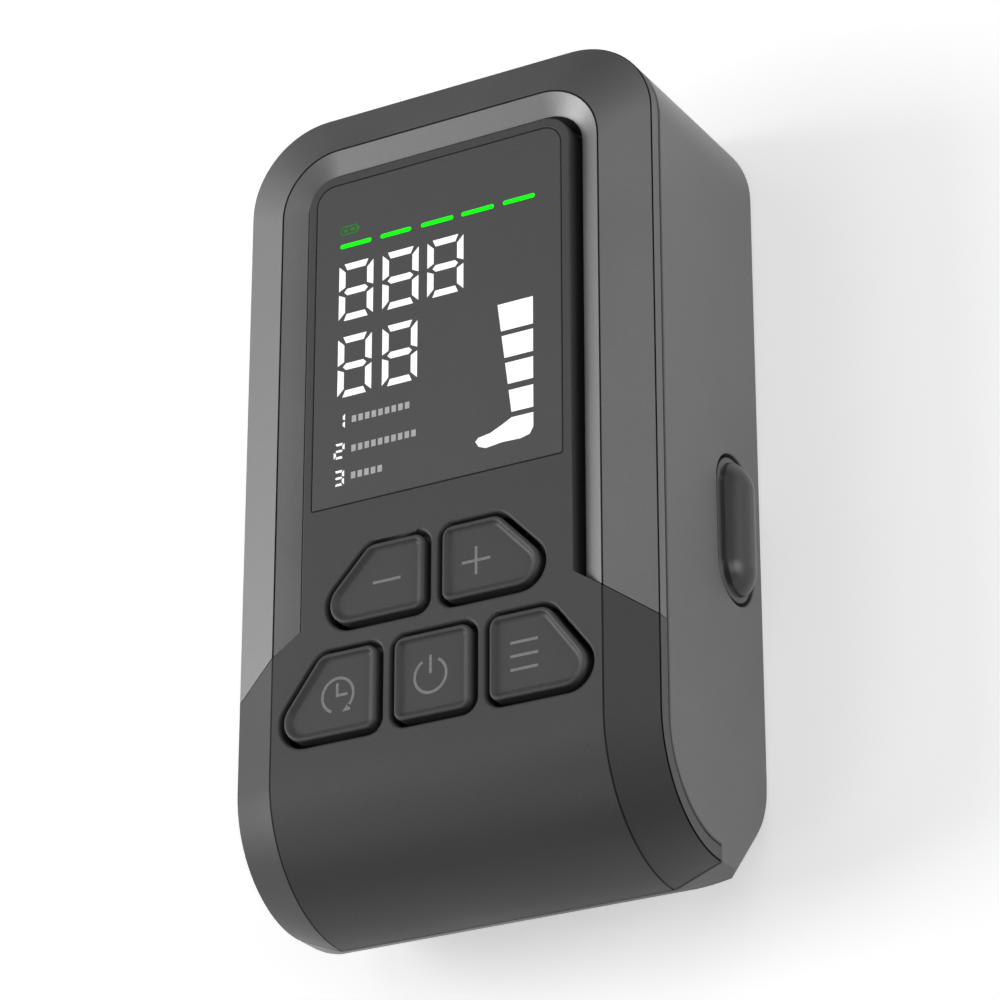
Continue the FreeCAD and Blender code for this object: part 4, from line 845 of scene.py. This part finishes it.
profile = list(SCREW_PROFILE)
for turn in range(int((SCREW_THREAD_END - SCREW_THREAD_START) / SCREW_PITCH)):
    z = SCREW_THREAD_START + turn * SCREW_PITCH
    profile += [(SCREW_CORE, z), (SCREW_PROFILE[-1][0], z + SCREW_PITCH / 2)]
profile += [(SCREW_CORE, SCREW_THREAD_END), (SCREW_TIP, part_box("case_screws")[1].z / mm)]
screws = bmesh.new()
for x, y in SCREW_PLACES:
    screw = bmesh.new()
    points = [screw.verts.new((radius * mm, 0, z * mm)) for radius, z in profile]
    runs = [screw.edges.new(pair) for pair in zip(points, points[1:])]
    bmesh.ops.spin(screw, geom=points + runs, cent=(0, 0, 0), axis=(0, 0, 1), angle=2 * math.pi,
                   steps=SCREW_LOBES * SCREW_LOBE_POINTS, use_merge=True)
    bmesh.ops.holes_fill(screw, edges=[edge for edge in screw.edges if edge.is_boundary])
    head = min(screw.faces, key=lambda face: face.calc_center_median().z)
    bmesh.ops.recalc_face_normals(screw, faces=screw.faces)
    bmesh.ops.inset_region(screw, faces=[head], thickness=(SCREW_PROFILE[0][0] - SCREW_LOBE_RADIUS) * mm,
                           use_even_offset=True)
    for i, vert in enumerate(head.verts):
        if i % SCREW_LOBE_POINTS >= SCREW_LOBE_POINTS / 2:
            vert.co.x *= SCREW_LOBE_PINCH
            vert.co.y *= SCREW_LOBE_PINCH
    bmesh.ops.inset_region(screw, faces=[head], thickness=SCREW_LOBE_LEAN * mm,
                           depth=-SCREW_LOBE_DEEP * mm, use_even_offset=True)
    bmesh.ops.translate(screw, verts=screw.verts, vec=(x * mm, y * mm, 0))
    for edge in screw.edges:
        closed = len(edge.link_faces) == 2
        edge.smooth = closed and edge.calc_face_angle(0) < math.radians(SCREW_CREASE_ANGLE)
    turned = bpy.data.meshes.new("turned")
    screw.to_mesh(turned)
    screws.from_mesh(turned)
    bpy.data.meshes.remove(turned)
    screw.free()
plated_steel = brushed_steel("plated_steel", SCREW_GREY, 0.34, 0.12 * mm, (1, 1, 0.3))
place_piece("case_screws_turned", screws, plated_steel, "casing", "screw_steel", "case_screws")

# ---- Circuit boards ------------------------------------------------------------------------------------
# Two glass-fibre boards in green solder lacquer over their copper traces. The upper one stands behind the
# face for the display and the keys, the lower one carries the charging socket and drives the valves.
LACQUER_GREEN, TRACE_GREEN = (0.012, 0.09, 0.035), (0.04, 0.2, 0.08)
TRACE_PITCH = 5 * mm


def board_lacquer(name, lacquer, traces, pitch):
    """Solder lacquer over copper traces, which show as slightly raised and lighter lines."""
    material, nodes, links, coat = blank_material(name)
    place = nodes.new("ShaderNodeTexCoord")
    runs = nodes.new("ShaderNodeTexBrick")
    runs.inputs["Scale"].default_value = 1 / pitch
    runs.inputs["Mortar Size"].default_value = 0.03
    runs.inputs["Color1"].default_value = (*lacquer, 1)
    runs.inputs["Color2"].default_value = (*shaded(lacquer, 0.85), 1)
    runs.inputs["Mortar"].default_value = (*traces, 1)
    bump = nodes.new("ShaderNodeBump")
    bump.inputs["Strength"].default_value = 0.5
    bump.inputs["Distance"].default_value = 0.03 * mm
    links.new(place.outputs["Object"], runs.inputs["Vector"])
    links.new(runs.outputs["Color"], coat.inputs["Base Color"])
    links.new(runs.outputs["Fac"], bump.inputs["Height"])
    links.new(bump.outputs["Normal"], coat.inputs["Normal"])
    coat.inputs["Roughness"].default_value = 0.32
    return material


solder_lacquer = board_lacquer("solder_lacquer", LACQUER_GREEN, TRACE_GREEN, TRACE_PITCH)
finish_node("display_board", solder_lacquer)
finish_node("main_board", solder_lacquer)

# ---- Parts on the boards -------------------------------------------------------------------------------
# Five switches under the keys and the display's own glossy block stand on the upper board. A pin header
# joins it to the lower board, which carries the buzzer and the folded steel shell of the charging socket.
SWITCH_BLACK, BUZZER_BLACK = (0.02, 0.02, 0.021), (0.012, 0.012, 0.012)
DISPLAY_BLOCK_GREY = (0.03, 0.03, 0.032)
SOCKET_GREY = (0.58, 0.58, 0.57)
switch_plastic = moulded_plastic("switch_plastic", SWITCH_BLACK, 0.4, 0.3 * mm, 0.008 * mm)
finish_node("tact_switches", switch_plastic)
finish_node("board_header", switch_plastic)
buzzer_plastic = moulded_plastic("buzzer_plastic", BUZZER_BLACK, 0.5, 0.4 * mm, 0.01 * mm)
finish_node("buzzer", buzzer_plastic)
display_block = moulded_plastic("display_block", DISPLAY_BLOCK_GREY, 0.2, 0.5 * mm, 0.002 * mm)
finish_node("display_module", display_block)
socket_steel = brushed_steel("socket_steel", SOCKET_GREY, 0.3, 0.1 * mm, (1, 0.2, 1))
finish_node("usb_socket", socket_steel)

# ---- Battery pack --------------------------------------------------------------------------------------
# A flat lithium pack in blue shrink wrap, lying in its cradle on the rear case's floor.
WRAP_BLUE = (0.02, 0.07, 0.27)
battery_wrap = moulded_plastic("battery_wrap", WRAP_BLUE, 0.28, 1.6 * mm, 0.05 * mm, 0.12)
finish_node("battery_pack", battery_wrap)

# ---- Air pump ------------------------------------------------------------------------------------------
# A motor in a drawn steel can turns the diaphragm pump on its end. They lie in a cradle across the lower
# end, and a soft silicone tube leads the air to the manifold.
CAN_GREY = (0.6, 0.6, 0.61)
PUMP_GREY = (0.3, 0.3, 0.29)
TUBE_MILKY = (0.6, 0.59, 0.55)
motor_steel = brushed_steel("motor_steel", CAN_GREY, 0.28, 0.1 * mm, (0.1, 1, 1))
finish_node("pump_motor", motor_steel)
pump_plastic = moulded_plastic("pump_plastic", PUMP_GREY, 0.45, 0.25 * mm, 0.015 * mm)
finish_node("pump_head", pump_plastic)
tube_silicone = moulded_plastic("tube_silicone", TUBE_MILKY, 0.35, 0.8 * mm, 0.01 * mm, 0.05, 0.4)
finish_node("air_tube", tube_silicone)

# ---- Outlets -------------------------------------------------------------------------------------------
# Five solenoid valves on the manifold open its outlets, which hang through the roof of the dock recess. A
# rubber gasket under the manifold seals it to the case.
NOZZLE_GREY = (0.05, 0.05, 0.052)
VALVE_BLACK = (0.018, 0.018, 0.02)
GASKET_BLACK = (0.03, 0.03, 0.03)
VALVE_COUNT = 5
nozzle_plastic = moulded_plastic("nozzle_plastic", NOZZLE_GREY, 0.4, MOULD_GRAIN, GRAIN_DEEP)
finish_node("outlet_manifold", nozzle_plastic)
valve_plastic = moulded_plastic("valve_plastic", VALVE_BLACK, 0.35, 0.3 * mm, 0.01 * mm)
for number in range(1, VALVE_COUNT + 1):
    finish_node("valve_%d" % number, valve_plastic)
gasket_rubber = moulded_plastic("gasket_rubber", GASKET_BLACK, 0.7, 0.2 * mm, 0.02 * mm, 0.1, 0.3)
finish_node("manifold_gasket", gasket_rubber)

# ---- Latch springs -------------------------------------------------------------------------------------
# A bowed leaf of spring steel stands on the recess wall behind each release button, and pushes it back
# out. It flattens against that wall as the button goes in, but is drawn here only in its bowed shape.
SPRING_GREY = (0.52, 0.51, 0.5)
spring_steel = brushed_steel("spring_steel", SPRING_GREY, 0.3, 0.08 * mm, (1, 0.1, 1))
for side, wall in (("left", 1), ("right", 0)):  # wall is the corner of the spring's box that it stands on
    leaf = bmesh.new()
    leaf.from_mesh(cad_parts["latch_spring_" + side].data)
    bmesh.ops.remove_doubles(leaf, verts=leaf.verts, dist=MERGE_GAP)
    spring = place_piece("latch_leaf_" + side, leaf, spring_steel, "casing", "spring_steel",
                         "latch_spring_" + side)
    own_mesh(spring)
